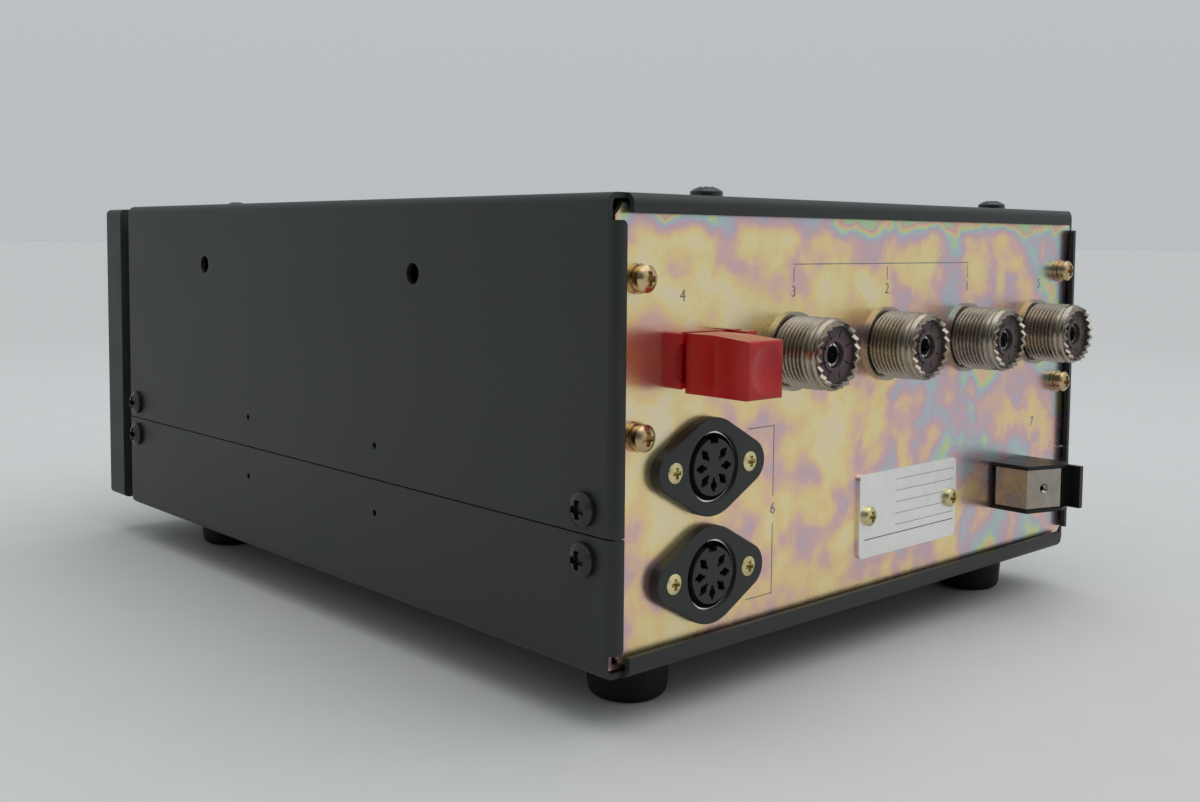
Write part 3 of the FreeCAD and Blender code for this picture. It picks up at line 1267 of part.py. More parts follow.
def front_bezel():
    """Moulded frame with a narrower neck that leaves a groove in front of the covers."""
    frame = bezel_block(BEZEL_INSET, BEZEL_FRONT_Y, BEZEL_REAR_Y)
    face = [e for e in frame.Edges if abs(e.CenterOfMass.y - BEZEL_FRONT_Y) < 1e-6]
    frame = frame.makeChamfer(BEZEL_CHAMFER, face)
    neck_x = HALF_WIDTH - BEZEL_NECK_INSET
    neck_z = (CASE_BOTTOM + BEZEL_NECK_INSET, CASE_TOP - BEZEL_NECK_INSET)
    neck = box(-neck_x, neck_x, BEZEL_REAR_Y - 1, SUBPANEL_Y, *neck_z)
    hole_x = HALF_WIDTH - BEZEL_FRAME
    hole_z = (CASE_BOTTOM + BEZEL_FRAME, CASE_TOP - BEZEL_FRAME)
    ledge = FASCIA_LEDGE
    seat_y = BEZEL_FRONT_Y + FASCIA_RECESS
    opening = box(-hole_x, hole_x, BEZEL_FRONT_Y - 1, SUBPANEL_Y + 1, *hole_z)
    sides = (-hole_x - ledge, hole_x + ledge, seat_y, SUBPANEL_Y + 1)
    seat = box(*sides, hole_z[0] - ledge, hole_z[1] + ledge)
    return joined([frame, neck]).cut([opening, seat])


def front_panel():
    """Fascia plate in the bezel, with holes for the knob shaft, buttons and lens."""
    reach = FASCIA_LEDGE - PANEL_FIT - BEZEL_FRAME
    half_x = HALF_WIDTH + reach
    y0 = BEZEL_FRONT_Y + FASCIA_RECESS
    y1 = y0 + FASCIA_THICKNESS
    plate = box(-half_x, half_x, y0, y1, CASE_BOTTOM - reach, CASE_TOP + reach)
    knob_z = CASE_BOTTOM + KNOB_HEIGHT
    tools = [rod(SWITCH_BUSHING_RADIUS + 0.5, KNOB_X, y0 - 1, knob_z, FASCIA_THICKNESS + 2)]
    half_w, half_h = BUTTON_HALF[0] + BUTTON_GAP, BUTTON_HALF[1] + BUTTON_GAP
    z = CASE_BOTTOM + BUTTON_HEIGHT
    for x in BUTTON_XS.values():
        tools.append(box(x - half_w, x + half_w, y0 - 1, y1 + 1, z - half_h, z + half_h))
    tools.append(box(*LENS_X, y0 - 1, y1 + 1, *(CASE_BOTTOM + h for h in LENS_HEIGHT)))
    return plate.cut(tools)


def indicator_lens():
    """Tinted window over the indicator lamps."""
    y0 = BEZEL_FRONT_Y + FASCIA_RECESS
    x0, x1 = LENS_X[0] + LENS_GAP, LENS_X[1] - LENS_GAP
    z0, z1 = CASE_BOTTOM + LENS_HEIGHT[0] + LENS_GAP, CASE_BOTTOM + LENS_HEIGHT[1] - LENS_GAP
    return box(x0, x1, y0 - LENS_PROUD, y0 + FASCIA_THICKNESS, z0, z1)


def band_knob():
    """Fluted knob with a pointer groove."""
    z = CASE_BOTTOM + KNOB_HEIGHT
    rear_y = BEZEL_FRONT_Y + FASCIA_RECESS - 0.6
    depth = rear_y - KNOB_FRONT_Y
    body = rod(KNOB_RADIUS, KNOB_X, KNOB_FRONT_Y, z, depth)
    body = body.makeFillet(KNOB_ROUND, [e for e in body.Edges if e.BoundBox.YMax < KNOB_FRONT_Y + 1e-6])
    tools = [rod(SHAFT_RADIUS, KNOB_X, KNOB_FRONT_Y + SHAFT_START, z, depth)]
    pointer_x = (KNOB_X - POINTER_WIDTH / 2, KNOB_X + POINTER_WIDTH / 2)
    pointer_z = (z + 3, z + KNOB_RADIUS + 1)
    tools.append(box(*pointer_x, KNOB_FRONT_Y - 1, KNOB_FRONT_Y + POINTER_DEPTH, *pointer_z))
    for i in range(KNOB_FLUTES):
        angle = 2 * math.pi * (i + 0.5) / KNOB_FLUTES
        x, flute_z = KNOB_X + FLUTE_CIRCLE * math.cos(angle), z + FLUTE_CIRCLE * math.sin(angle)
        tools.append(rod(FLUTE_RADIUS, x, KNOB_FRONT_Y + 2, flute_z, depth - 6))
    return body.cut(tools)


def band_shaft():
    """Shaft of the band switch, pressed into the knob."""
    start = KNOB_FRONT_Y + SHAFT_START + 0.05
    end = SUBPANEL_BACK_Y + SWITCH_DEPTH - 1
    return rod(SHAFT_RADIUS - 0.01, KNOB_X, start, CASE_BOTTOM + KNOB_HEIGHT, end - start)


def band_switch():
    """Rotary switch with a bushing through the sub-panel."""
    z = CASE_BOTTOM + KNOB_HEIGHT
    y0 = SUBPANEL_BACK_Y
    case = rod(SWITCH_RADIUS, KNOB_X, y0, z, SWITCH_DEPTH)
    bushing_start = SUBPANEL_Y - SWITCH_BUSHING_LENGTH
    reach = y0 - bushing_start
    bushing = rod(SWITCH_BUSHING_RADIUS, KNOB_X, bushing_start, z, reach + 1)
    bore = rod(SHAFT_RADIUS + RUNNING_GAP, KNOB_X, bushing_start - 1, z, reach + SWITCH_DEPTH + 0.5)
    return joined([case, bushing]).cut(bore)


def push_button(x):
    """Cap with a stem that reaches into its switch."""
    z = CASE_BOTTOM + BUTTON_HEIGHT
    half_w, half_h = BUTTON_HALF
    face_y = BEZEL_FRONT_Y + FASCIA_RECESS - BUTTON_STANDOUT
    cap_end = BEZEL_FRONT_Y + FASCIA_RECESS + FASCIA_THICKNESS + 0.5
    cap = box(x - half_w, x + half_w, face_y, cap_end, z - half_h, z + half_h)
    cap = cap.makeFillet(BUTTON_ROUND, [e for e in cap.Edges if e.CenterOfMass.y < cap_end - 0.1])
    stem_end = SUBPANEL_BACK_Y + 3
    stem = rod(BUTTON_STEM_RADIUS, x, cap_end - 0.5, z, stem_end - cap_end + 0.5)
    return joined([cap, stem])


def button_switches():
    """Switch bodies behind the sub-panel, each with a blind hole for its stem."""
    half_x, half_z = BUTTON_SWITCH_HALF
    z = CASE_BOTTOM + BUTTON_HEIGHT
    y0 = SUBPANEL_BACK_Y
    bodies = []
    for x in BUTTON_XS.values():
        body = box(x - half_x, x + half_x, y0, y0 + SWITCH_DEPTH, z - half_z, z + half_z)
        bodies.append(body.cut(rod(BUTTON_STEM_RADIUS + 0.08, x, y0 - 1, z, SWITCH_DEPTH)))
    return Part.makeCompound(bodies)


# ---- the assembly -------------------------------------------------------------------------------
def build():
    """Every sub-part by its node name."""
    case = folded_case()
    parts = {
        "upper_cover": upper_cover(case),
        "lower_cover": lower_cover(case),
        "cover_side_screws": cover_side_screws(),
        "cover_top_screws": cover_top_screws(),
        "chassis": chassis(),
        "rear_panel": rear_panel(),
        "panel_screws": panel_screws(),
        "front_subpanel": front_subpanel(),
        "foot_screws": foot_screws(),
        "coax_insulators": coax_insulators(),
        "coax_contacts": coax_contacts(),
        "coax_nuts": coax_nuts(),
        "din_inserts": din_inserts(),
        "din_shields": din_shields(),
        "din_screws": din_screws(),
        "rating_plate": rating_plate(),
        "rating_plate_screws": rating_plate_screws(),
        "wire_terminal_base": wire_terminal_base(),
        "wire_terminal_lever": wire_terminal_lever(),
        "wire_terminal_spring": wire_terminal_spring(),
        "ground_terminal_housing": ground_terminal_housing(),
        "ground_terminal_clip": ground_terminal_clip(),
        "tuning_coil": tuning_coil(),
        "coil_former": coil_former(),
        "main_board": main_board(),
        "board_standoffs": board_standoffs(),
        "relays": relays(),
        "detector_can": detector_can(),
        "front_bezel": front_bezel(),
        "front_panel": front_panel(),
        "indicator_lens": indicator_lens(),
        "band_knob": band_knob(),
        "band_shaft": band_shaft(),
        "band_switch": band_switch(),
        "button_switches": button_switches(),
    }
    for name, (x, y) in foot_places().items():
        parts[name] = foot(x, y)
    for index, (x, z) in enumerate(coax_places(), start=1):
        parts[f"coax_socket_{index}"] = coax_shell(x, z)
    for name, (x, z) in din_places().items():
        parts["din_socket_" + name] = din_body(x, z)
    for name, x in BUTTON_XS.items():
        parts[name] = push_button(x)
    for name, x in CAPACITOR_X.items():
        parts["capacitor_frame_" + name] = capacitor_frame(x)
        parts["capacitor_stator_" + name] = capacitor_stator(x)
        parts["capacitor_rotor_" + name] = capacitor_rotor(x)
        parts["capacitor_gear_" + name] = capacitor_gear(x)
        parts["tuning_motor_" + name] = tuning_motor(x)
        parts["motor_pinion_" + name] = motor_pinion(x)
    return parts


def main():
    """Write one file for each sub-part."""
    os.makedirs("parts", exist_ok=True)
    for name, shape in build().items():
        shape.exportStep(f"parts/{name}.step")
        bounds = shape.BoundBox
        print(f"{name:26s} solids {len(shape.Solids):3d} valid {shape.isValid()} "
              f"x {bounds.XMin:8.2f} {bounds.XMax:8.2f} y {bounds.YMin:8.2f} {bounds.YMax:8.2f} "
              f"z {bounds.ZMin:8.2f} {bounds.ZMax:8.2f} volume {shape.Volume:.0f}")


main()
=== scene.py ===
"""Looks of the antenna tuner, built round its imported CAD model.

Blender's units are metres, in the CAD frame: +Z up, the front faces -Y, the connector panel faces +Y.
Values in millimetres are turned into metres by MM where they are used.
"""

import json
import math

import bmesh
import bpy
from mathutils import Matrix, Vector


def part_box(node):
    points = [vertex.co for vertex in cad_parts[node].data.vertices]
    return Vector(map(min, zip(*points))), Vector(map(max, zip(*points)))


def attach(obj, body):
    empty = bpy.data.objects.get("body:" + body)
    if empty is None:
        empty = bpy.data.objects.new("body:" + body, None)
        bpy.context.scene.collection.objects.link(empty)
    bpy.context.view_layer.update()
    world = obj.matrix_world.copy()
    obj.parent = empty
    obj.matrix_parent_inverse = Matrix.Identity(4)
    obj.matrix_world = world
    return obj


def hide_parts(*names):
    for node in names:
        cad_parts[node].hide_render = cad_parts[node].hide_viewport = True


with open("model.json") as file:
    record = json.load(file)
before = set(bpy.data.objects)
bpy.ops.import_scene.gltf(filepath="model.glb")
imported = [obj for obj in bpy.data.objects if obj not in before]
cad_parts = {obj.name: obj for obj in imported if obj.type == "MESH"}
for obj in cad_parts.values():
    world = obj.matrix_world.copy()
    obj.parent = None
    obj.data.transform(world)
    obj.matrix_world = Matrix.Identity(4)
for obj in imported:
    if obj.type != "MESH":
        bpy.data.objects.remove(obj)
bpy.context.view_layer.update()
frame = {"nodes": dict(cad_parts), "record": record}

MM = 0.001
WELD_DISTANCE = 2e-6
SHORTEST_EDGE = 1e-6

# ---- camera -------------------------------------------------------------------------------------
CAMERA_PLACE = Vector((257.26, 298.92, 97.75)) * MM
CAMERA_FORWARD = Vector((-0.67398, -0.73573, -0.06677))
CAMERA_RIGHT = Vector((-0.73774, 0.67503, 0.00881))
CAMERA_LENS = 38.60
CAMERA_SENSOR = 36.0
CAMERA_SHIFT = (0.0007, -0.0625)
CAMERA_NEAREST = 0.01

# ---- light and floor ----------------------------------------------------------------------------
WORLD_TOP = (0.56, 0.585, 0.60, 1.0)
WORLD_LEVEL = (0.485, 0.515, 0.53, 1.0)
WORLD_LOW = (0.40, 0.42, 0.43, 1.0)

# A side is (direction, cosines where it begins and where it is full, brightness there).
DARK_SIDE = ((0.655, 0.753, 0.05), (0.60, 0.94), 0.07)
BRIGHT_SIDE = ((-0.66, 0.74, 0.10), (0.60, 0.95), 1.20)

FLOOR_SIZE = 40.0
# The floor's tone is lighter near the object and darker far away: a painted pool of light.
FLOOR_PAINTED_POOL_FADE = (0.25, 1.2)
FLOOR_PAINTED_POOL_TONE = 0.675
FLOOR_FAR_TONE = 0.60

SUN_POWER = 1.15
SUN_WIDTH = math.radians(75)
SUN_TILT = (math.radians(-14), math.radians(-9), 0)

# ---- threaded sockets, in millimetres; heights are over the panel's face -------------------------
SOCKET_COUNT = 4
COLUMNS = 120
SMOOTH_BELOW_DEGREES = 50
TEETH = 20
TOOTH_DEPTH = 0.95
BARREL_RADIUS = 7.94
COLLAR_RADIUS = BARREL_RADIUS - 0.1
BORE_RADIUS = 6.3
BORE_DEPTH = 2.5
FLANGE_RADIUS = 9.2
FLANGE_FACE = -1.35
NECK_RADIUS = 7.6
NECK_END = 1.1
RIM_RADIUS = 7.25
RIM_WIDTH = 0.35
RIM_START = 1.2
SHOULDER_START = 1.75

THREAD_PITCH = 25.4 / 24
THREAD_ROWS = 6
THREAD_SHAPE = (1.0, 1.0, 0.5, 0.0, 0.0, 0.5)
THREAD_DEPTH = 0.62
THREAD_ROOT = BARREL_RADIUS - THREAD_DEPTH
THREAD_START = 1.2
THREAD_TO_MOUTH = 2.9

# ---- printing, in millimetres -------------------------------------------------------------------
PRINT_LIFT = 0.03
PLATE_PRINT_LIFT = 0.02
FONT_SIZE_TO_HEIGHT = 1.35

PANEL_LINE_WIDTH = 0.22
PANEL_NUMERAL_HEIGHT = 2.6
ANTENNA_LINE_Z = 92.8
ANTENNA_DROPS = (0.8, 3.8)
ANTENNA_NUMERAL_Z = 86.7
ACCESSORY_LINE_X = (48.8, 40.2)
ACCESSORY_LINE_TOP = (57.6, 42.2)
ACCESSORY_LINE_BOTTOM = (20.4, 35.9)
OTHER_NUMERALS = (("4", 69.5, 86.6), ("5", -72.0, 86.7), ("6", 40.2, 39.2), ("7", -70.5, 48.6))

RULE_COUNT = 5
RULE_FIRST = 2.6
RULE_SPACING = 2.8
RULE_WIDTH = 0.14
RULE_MARGINS = (14.5, 1.2)
HEAVY_RULE_DROP = 15.8
HEAVY_RULE_WIDTH = 0.22
HEAVY_RULE_MARGINS = (2.0, 1.2)

DIAL_COUNT = 9
DIAL_START = 210
DIAL_STEP = -30
DIAL_MARK = (1.5, 4.0)
DIAL_NUMERAL_GAP = 7.2
DIAL_NUMERAL_HEIGHT = 3.0
MARK_WIDTH = 0.5
BUTTON_MARK_HALF = 4.0
BUTTON_MARK_GAP = 3.2


# ---- node trees ---------------------------------------------------------------------------------
class Finish:
    """One material's node tree, with short calls for the nodes that the finishes share."""

    def __init__(self, name):
        self.material = bpy.data.materials.new(name)
        self.material.use_nodes = True
        self.tree = self.material.node_tree
        self.tree.nodes.clear()
        self.shader = self.tree.nodes.new("ShaderNodeBsdfPrincipled")
        output = self.tree.nodes.new("ShaderNodeOutputMaterial")
        self.tree.links.new(self.shader.outputs["BSDF"], output.inputs["Surface"])
        self.place = self.tree.nodes.new("ShaderNodeTexCoord").outputs["Object"]

    def put(self, socket, value):
        """Link an output to an input, or set the input's own value."""
        if isinstance(value, bpy.types.NodeSocket):
            self.tree.links.new(value, socket)
        else:
            socket.default_value = value

    def node(self, kind, inputs, **settings):
        """New node with its settings, and its inputs by name or number."""
        made = self.tree.nodes.new(kind)
        for name, value in settings.items():
            setattr(made, name, value)
        for key, value in inputs.items():
            self.put(made.inputs[key], value)
        return made

    def set(self, **values):
        """Shader inputs, with _ for the spaces in their names."""
        for name, value in values.items():
            self.put(self.shader.inputs[name.replace("_", " ")], value)

    def stretched(self, x, y, z):
        """Object coordinates scaled along each axis."""
        return self.node("ShaderNodeMapping", {"Vector": self.place, "Scale": (x, y, z)}).outputs["Vector"]

    def noise(self, size_mm, detail=3.0, roughness=0.5, distortion=0.0, place=None):
        """Noise value from 0 to 1 with features of about this size."""
        inputs = {
            "Vector": place or self.place,
            "Scale": 1 / (size_mm * MM),
            "Detail": detail,
            "Roughness": roughness,
            "Distortion": distortion,
        }
        return self.node("ShaderNodeTexNoise", inputs).outputs["Fac"]

    def plus(self, first, second):
        """Sum of two values."""
        return self.node("ShaderNodeMath", {0: first, 1: second}, operation="ADD").outputs[0]

    def times(self, first, second):
        """Product of two values."""
        return self.node("ShaderNodeMath", {0: first, 1: second}, operation="MULTIPLY").outputs[0]

    def spread(self, value, low, high, to_low=0.0, to_high=1.0):
        """A value's range mapped to another, with soft ends."""
        inputs = {"Value": value, "From Min": low, "From Max": high, "To Min": to_low, "To Max": to_high}
        return self.node("ShaderNodeMapRange", inputs, interpolation_type="SMOOTHSTEP").outputs["Result"]

    def mix(self, factor, first, second):
        """Blend of two colours. The node's colour sockets share their names with its other sockets."""
        made = self.node("ShaderNodeMix", {"Factor": factor, 6: first, 7: second}, data_type="RGBA")
        return made.outputs[2]

    def ramp(self, factor, stops):
        """Colour ramp through (position, colour) stops."""
        made = self.node("ShaderNodeValToRGB", {"Fac": factor})
        elements = made.color_ramp.elements
        while len(elements) < len(stops):
            elements.new(0.5)
        for element, (position, colour) in zip(elements, stops):
            element.position = position
            element.color = opaque(colour)
        return made.outputs["Color"]

    def axis(self, name):
        """Object coordinate along X, Y or Z."""
        return self.node("ShaderNodeSeparateXYZ", {0: self.place}).outputs[name]

    def bump(self, height, depth_mm, under=None):
        """Surface normal for a height field of this depth, over another normal if one is given."""
        inputs = {"Height": height, "Distance": depth_mm * MM, "Strength": 1.0}
        if under:
            inputs["Normal"] = under
        return self.node("ShaderNodeBump", inputs).outputs["Normal"]

    def soft_edge(self, radius_mm):
        """Normal that rounds the sharp edges."""
        return self.node("ShaderNodeBevel", {"Radius": radius_mm * MM}, samples=4).outputs["Normal"]


# ---- colours ------------------------------------------------------------------------------------
def linear(value):
    """Linear level of an 8-bit sRGB one."""
    share = value / 255
    return share / 12.92 if share <= 0.04045 else ((share + 0.055) / 1.055) ** 2.4


def srgb(red, green, blue):
    """Linear colour of an 8-bit sRGB one."""
    return linear(red), linear(green), linear(blue)


def opaque(colour):
    """The colour with full alpha."""
    return (*colour, 1.0)


# Colours of the plated panel, by the thickness of the passivated film.
FILM_COLOURS = [
    (0.00, (0.95, 0.82, 0.56)),
    (0.14, (0.97, 0.82, 0.44)),
    (0.28, (0.96, 0.74, 0.36)),
    (0.37, (0.93, 0.66, 0.44)),
    (0.46, (0.84, 0.56, 0.50)),
    (0.56, (0.72, 0.52, 0.58)),
    (0.65, (0.60, 0.58, 0.66)),
    (0.73, (0.52, 0.68, 0.66)),
    (0.81, (0.72, 0.78, 0.36)),
    (0.88, (0.92, 0.62, 0.42)),
    (0.94, (0.82, 0.46, 0.46)),
    (1.00, (0.54, 0.70, 0.42)),
]
PLATING_MARK = (0.10, 0.09, 0.06)
BARE_ZINC = (0.72, 0.71, 0.66)

METALS = {
    "gold_screw": dict(colour=(0.68, 0.50, 0.28), roughness=0.26, wear=0.16, edge_mm=0.08, grain_mm=1.4),
    "brass_screw": dict(colour=(0.80, 0.70, 0.38), roughness=0.24, edge_mm=0.08, grain_mm=1.2),
    "nickel": dict(colour=(0.40, 0.36, 0.30), roughness=0.25, wear=0.08, grain_mm=1.6),
    "silver_contact": dict(colour=(0.82, 0.81, 0.77), roughness=0.18, wear=0.06, edge_mm=0.05),
    "plate_silver": dict(colour=(0.93, 0.92, 0.89), roughness=0.42, wear=0.02, edge_mm=0.15, grain_mm=0.3),
    "spring_steel": dict(colour=(0.55, 0.55, 0.55), roughness=0.30),
    "aluminium": dict(colour=(0.78, 0.78, 0.79), roughness=0.38),
    "brass": dict(colour=(0.72, 0.55, 0.26), roughness=0.30),
    "motor_steel": dict(colour=(0.55, 0.55, 0.56), roughness=0.32),
    "coil_wire": dict(colour=(0.82, 0.80, 0.74), roughness=0.22),
    "tin": dict(colour=(0.66, 0.66, 0.64), roughness=0.35),
}

PLASTICS = {
    "black_screw": dict(
        colour=(0.012, 0.012, 0.013), roughness=0.22, texture_mm=0.5, texture_depth=0.003, edge_mm=0.2,
    ),
    "phenolic": dict(
        colour=srgb(76, 60, 62), roughness=0.5, texture_mm=0.4, texture_depth=0.008, edge_mm=0.1,
    ),
    "black_plastic": dict(
        colour=srgb(32, 34, 33), roughness=0.5, texture_mm=0.25, texture_depth=0.003, edge_mm=0.2,
    ),
    "terminal_black": dict(
        colour=(0.0035, 0.004, 0.0035), roughness=0.34, texture_mm=0.4, texture_depth=0.002, specular=0.3,
    ),
    "red_plastic": dict(
        colour=(0.42, 0.007, 0.008), roughness=0.22, texture_mm=0.8, texture_depth=0.002, edge_mm=0.35,
        specular=0.4,
    ),
    "rubber": dict(
        colour=(0.0035, 0.004, 0.0036), roughness=0.6, texture_mm=0.5, texture_depth=0.012, edge_mm=0.3,
        specular=0.25,
    ),
    "bezel_plastic": dict(
        colour=srgb(46, 49, 49), roughness=0.55, texture_mm=0.35, texture_depth=0.012, edge_mm=0.4,
    ),
    "fascia": dict(
        colour=srgb(30, 31, 33), roughness=0.42, texture_mm=0.5, texture_depth=0.004, edge_mm=0.2,
    ),
    "knob": dict(colour=srgb(32, 33, 34), roughness=0.45, edge_mm=0.3),
    "button": dict(colour=srgb(104, 106, 108), roughness=0.45, texture_mm=0.4, edge_mm=0.3),
    "former": dict(colour=(0.74, 0.71, 0.62), roughness=0.6),
    "board": dict(colour=(0.02, 0.16, 0.06), roughness=0.35),
    "relay_blue": dict(colour=(0.02, 0.05, 0.20), roughness=0.35),
}

INKS = {
    "blue_grey": srgb(120, 124, 122),
    "grey": srgb(120, 120, 122),
    "black": srgb(70, 70, 72),
    "white": srgb(190, 192, 194),
}


# ---- finishes -----------------------------------------------------------------------------------
def case_paint(name):
    """Dark satin paint with a fine texture, faint smudges and specks of dust."""
    f = Finish(name)
    smudge = f.noise(38, detail=4, roughness=0.6, distortion=0.6)
    grain = f.noise(0.45, detail=2, roughness=0.6)
    dust = f.noise(1.6, detail=3, roughness=0.7)
    tone = f.mix(f.spread(smudge, 0.35, 0.7), opaque(srgb(38, 41, 40)), opaque(srgb(44, 47, 46)))
    tone = f.mix(f.spread(dust, 0.70, 0.80, 0, 0.25), tone, opaque(srgb(70, 73, 72)))
    f.set(Base_Color=tone, Roughness=f.spread(smudge, 0.3, 0.75, 0.44, 0.52), Specular_IOR_Level=0.42)
    f.set(Normal=f.bump(grain, 0.012, f.soft_edge(0.25)))
    return f.material


def zinc(name, greyness):
    """Iridescent zinc plating. Its colour follows the thickness of the passivated film."""
    f = Finish(name)
    patches = f.noise(12.0, roughness=0.5, distortion=0.15)
    clouds = f.noise(34.0, roughness=0.5, distortion=0.2, place=f.stretched(1.0, 1.0, 1.3))
    film = f.plus(f.times(f.spread(patches, 0.30, 0.70), 0.50), f.times(f.spread(clouds, 0.35, 0.65), 0.22))
    film = f.plus(film, side_film(f))
    film = f.plus(film, edge_film(f))
    colour = f.mix(plating_marks(f), f.ramp(film, FILM_COLOURS), opaque(PLATING_MARK))
    colour = f.mix(greyness, colour, opaque(BARE_ZINC))
    f.set(Base_Color=colour, Metallic=0.93, Roughness=f.spread(patches, 0.2, 0.8, 0.30, 0.24))
    f.set(Normal=f.bump(clouds, 0.06))
    return f.material


def side_film(f):
    """Film that thickens from the terminal side of the panel to the other one."""
    return f.spread(f.axis("X"), 0.05, -0.080, -0.08, 0.24)


def edge_film(f):
    """Thicker film along the top edge of the rear panel, in wavy bands."""
    wave = f.noise(14.0, detail=2.0, distortion=0.5, place=f.stretched(0.6, 1.0, 1.0))
    height = f.plus(f.axis("Z"), f.times(wave, 0.006))
    return f.spread(height, 0.1005, 0.1065, 0.0, 0.5)


def plating_marks(f):
    """Factor of the small dark marks, which come in groups."""
    speck = f.noise(1.0, detail=2, roughness=0.7)
    region = f.noise(24, detail=2)
    return f.times(f.spread(speck, 0.745, 0.775), f.spread(region, 0.52, 0.62))


def metal(name, colour, roughness, wear=0.12, edge_mm=0.12, grain_mm=0.6):
    """Bare or plated metal with blurred tarnish, fine scratches and softened edges."""
    f = Finish(name)
    tarnish = f.noise(4.0, detail=4, roughness=0.6, distortion=0.5)
    scratch = f.noise(grain_mm, detail=3, roughness=0.65)
    dark = tuple(c * (1 - wear * 2.2) for c in colour)
    f.set(Base_Color=f.mix(f.spread(tarnish, 0.35, 0.72), opaque(colour), opaque(dark)), Metallic=1.0)
    f.set(Roughness=f.spread(scratch, 0.3, 0.7, roughness - 0.03, roughness + 0.05))
    f.set(Normal=f.bump(scratch, 0.0012, f.soft_edge(edge_mm)))
    return f.material


def plastic(name, colour, roughness, texture_mm=0.3, texture_depth=0.006, edge_mm=0.25, specular=0.5):
    """Moulded plastic with a fine texture, a little colour drift and softened edges."""
    f = Finish(name)
    drift = f.noise(9.0, detail=3, roughness=0.6)
    texture = f.noise(texture_mm, detail=2, roughness=0.6)
    lighter = tuple(min(1.0, c * 1.35 + 0.004) for c in colour)
    f.set(Base_Color=f.mix(f.spread(drift, 0.35, 0.75, 0, 0.6), opaque(colour), opaque(lighter)))
    f.set(Roughness=f.spread(drift, 0.3, 0.7, roughness - 0.04, roughness + 0.06))
    f.set(Specular_IOR_Level=specular, Normal=f.bump(texture, texture_depth, f.soft_edge(edge_mm)))
    return f.material


def lens_finish(name):
    """Tinted window, almost opaque from outside."""
    f = Finish(name)
    streak = f.noise(14, detail=2)
    f.set(Base_Color=f.mix(streak, opaque((0.05, 0.004, 0.006)), opaque((0.09, 0.006, 0.008))))
    f.set(Roughness=f.spread(streak, 0.3, 0.7, 0.08, 0.14), Coat_Weight=0.6, Coat_Roughness=0.05)
    return f.material


def ink(name, colour):
    """Printing worn thin in places."""
    f = Finish(name)
    worn = f.noise(0.5, detail=3, roughness=0.7)
    paler = tuple(c * 1.9 + 0.02 for c in colour)
    f.set(Base_Color=f.mix(f.spread(worn, 0.45, 0.70), opaque(colour), opaque(paler)), Roughness=0.5)
    return f.material


def make_finishes():
    """Every record slot's material."""
    finishes = {
        "case_paint": case_paint("case_paint"),
        "zinc_gold": zinc("zinc_gold", greyness=0.0),
        "zinc_plain": zinc("zinc_plain", greyness=0.55),
        "lens": lens_finish("lens"),
    }
    for name, settings in METALS.items():
        finishes[name] = metal(name, **settings)
    for name, settings in PLASTICS.items():
        finishes[name] = plastic(name, **settings)
    return finishes


def dress_nodes(finishes):
    """Give each CAD node the material of its record slot."""
    for part in frame["record"]["subparts"]:
        mesh = frame["nodes"][part["node"]].data
        mesh.materials.clear()
        mesh.materials.append(finishes[part["material_slot"]])


# ---- meshes -------------------------------------------------------------------------------------
def mesh_piece(name, vertices, faces, material):
    """A mesh in the frame's own coordinates, fixed to the cabinet."""
    mesh = bpy.data.meshes.new(name)
    mesh.from_pydata(vertices, [], faces)
    mesh.validate()
    mesh.materials.append(material)
    piece = bpy.data.objects.new(name, mesh)
    bpy.context.collection.objects.link(piece)
    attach(piece, "cabinet")
    return piece


def tidy_mesh(piece):
    """Weld doubled points, face the normals outwards, and smooth all but the sharp edges."""
    work = bmesh.new()
    work.from_mesh(piece.data)
    bmesh.ops.remove_doubles(work, verts=work.verts, dist=WELD_DISTANCE)
    bmesh.ops.dissolve_degenerate(work, edges=work.edges, dist=SHORTEST_EDGE)
    bmesh.ops.recalc_face_normals(work, faces=work.faces)
    limit = math.radians(SMOOTH_BELOW_DEGREES)
    for face in work.faces:
        face.smooth = True
    for edge in work.edges:
        edge.smooth = len(edge.link_faces) == 2 and edge.calc_face_angle(0) < limit
    work.to_mesh(piece.data)
    work.free()


# ---- threaded sockets ---------------------------------------------------------------------------
def thread_rows(start, end):
    """Skewed grid of a helical thread from start to end, in rows of (rise over the root, height)."""
    step = THREAD_PITCH / THREAD_ROWS
    count = int((end - start + THREAD_PITCH) / step) + 2
    rows = []
    for row in range(count):
        ring = []
        for column in range(COLUMNS):
            height = start - THREAD_PITCH + step * row + THREAD_PITCH * column / COLUMNS
            held = min(max(height, start), end)
            fade = min(1.0, max(0.0, end - held) / THREAD_PITCH)
            crest = THREAD_SHAPE[row % THREAD_ROWS] if held == height else 0.0
            ring.append((THREAD_DEPTH * crest * fade, held))
        rows.append(ring)
    return rows


def flange_outline(back):
    """(radius, height, toothed) from the rear of the bore round the flange to the thread."""
    return [
        (BORE_RADIUS, back, False),
        (FLANGE_RADIUS, back, False),
        (FLANGE_RADIUS, FLANGE_FACE, False),
        (NECK_RADIUS, FLANGE_FACE, False),
        (NECK_RADIUS, NECK_END, False),
    ]


def mouth_outline(thread_end, mouth):
    """(radius, height, toothed) from the thread's end over the toothed rim into the bore."""
    return [
        (THREAD_ROOT, thread_end + 0.05, False),
        (COLLAR_RADIUS - 0.15, thread_end + 0.2, False),
        (COLLAR_RADIUS, thread_end + 0.35, False),
        (COLLAR_RADIUS, mouth - SHOULDER_START, False),
        (COLLAR_RADIUS - 0.2, mouth - 1.5, False),
        (RIM_RADIUS + 0.05, mouth - 1.35, False),
        (RIM_RADIUS, mouth - RIM_START, False),
        (RIM_RADIUS, mouth, True),
        (RIM_RADIUS - RIM_WIDTH, mouth, True),
        (BORE_RADIUS, mouth - 0.12, True),
        (BORE_RADIUS, mouth - BORE_DEPTH, False),
    ]


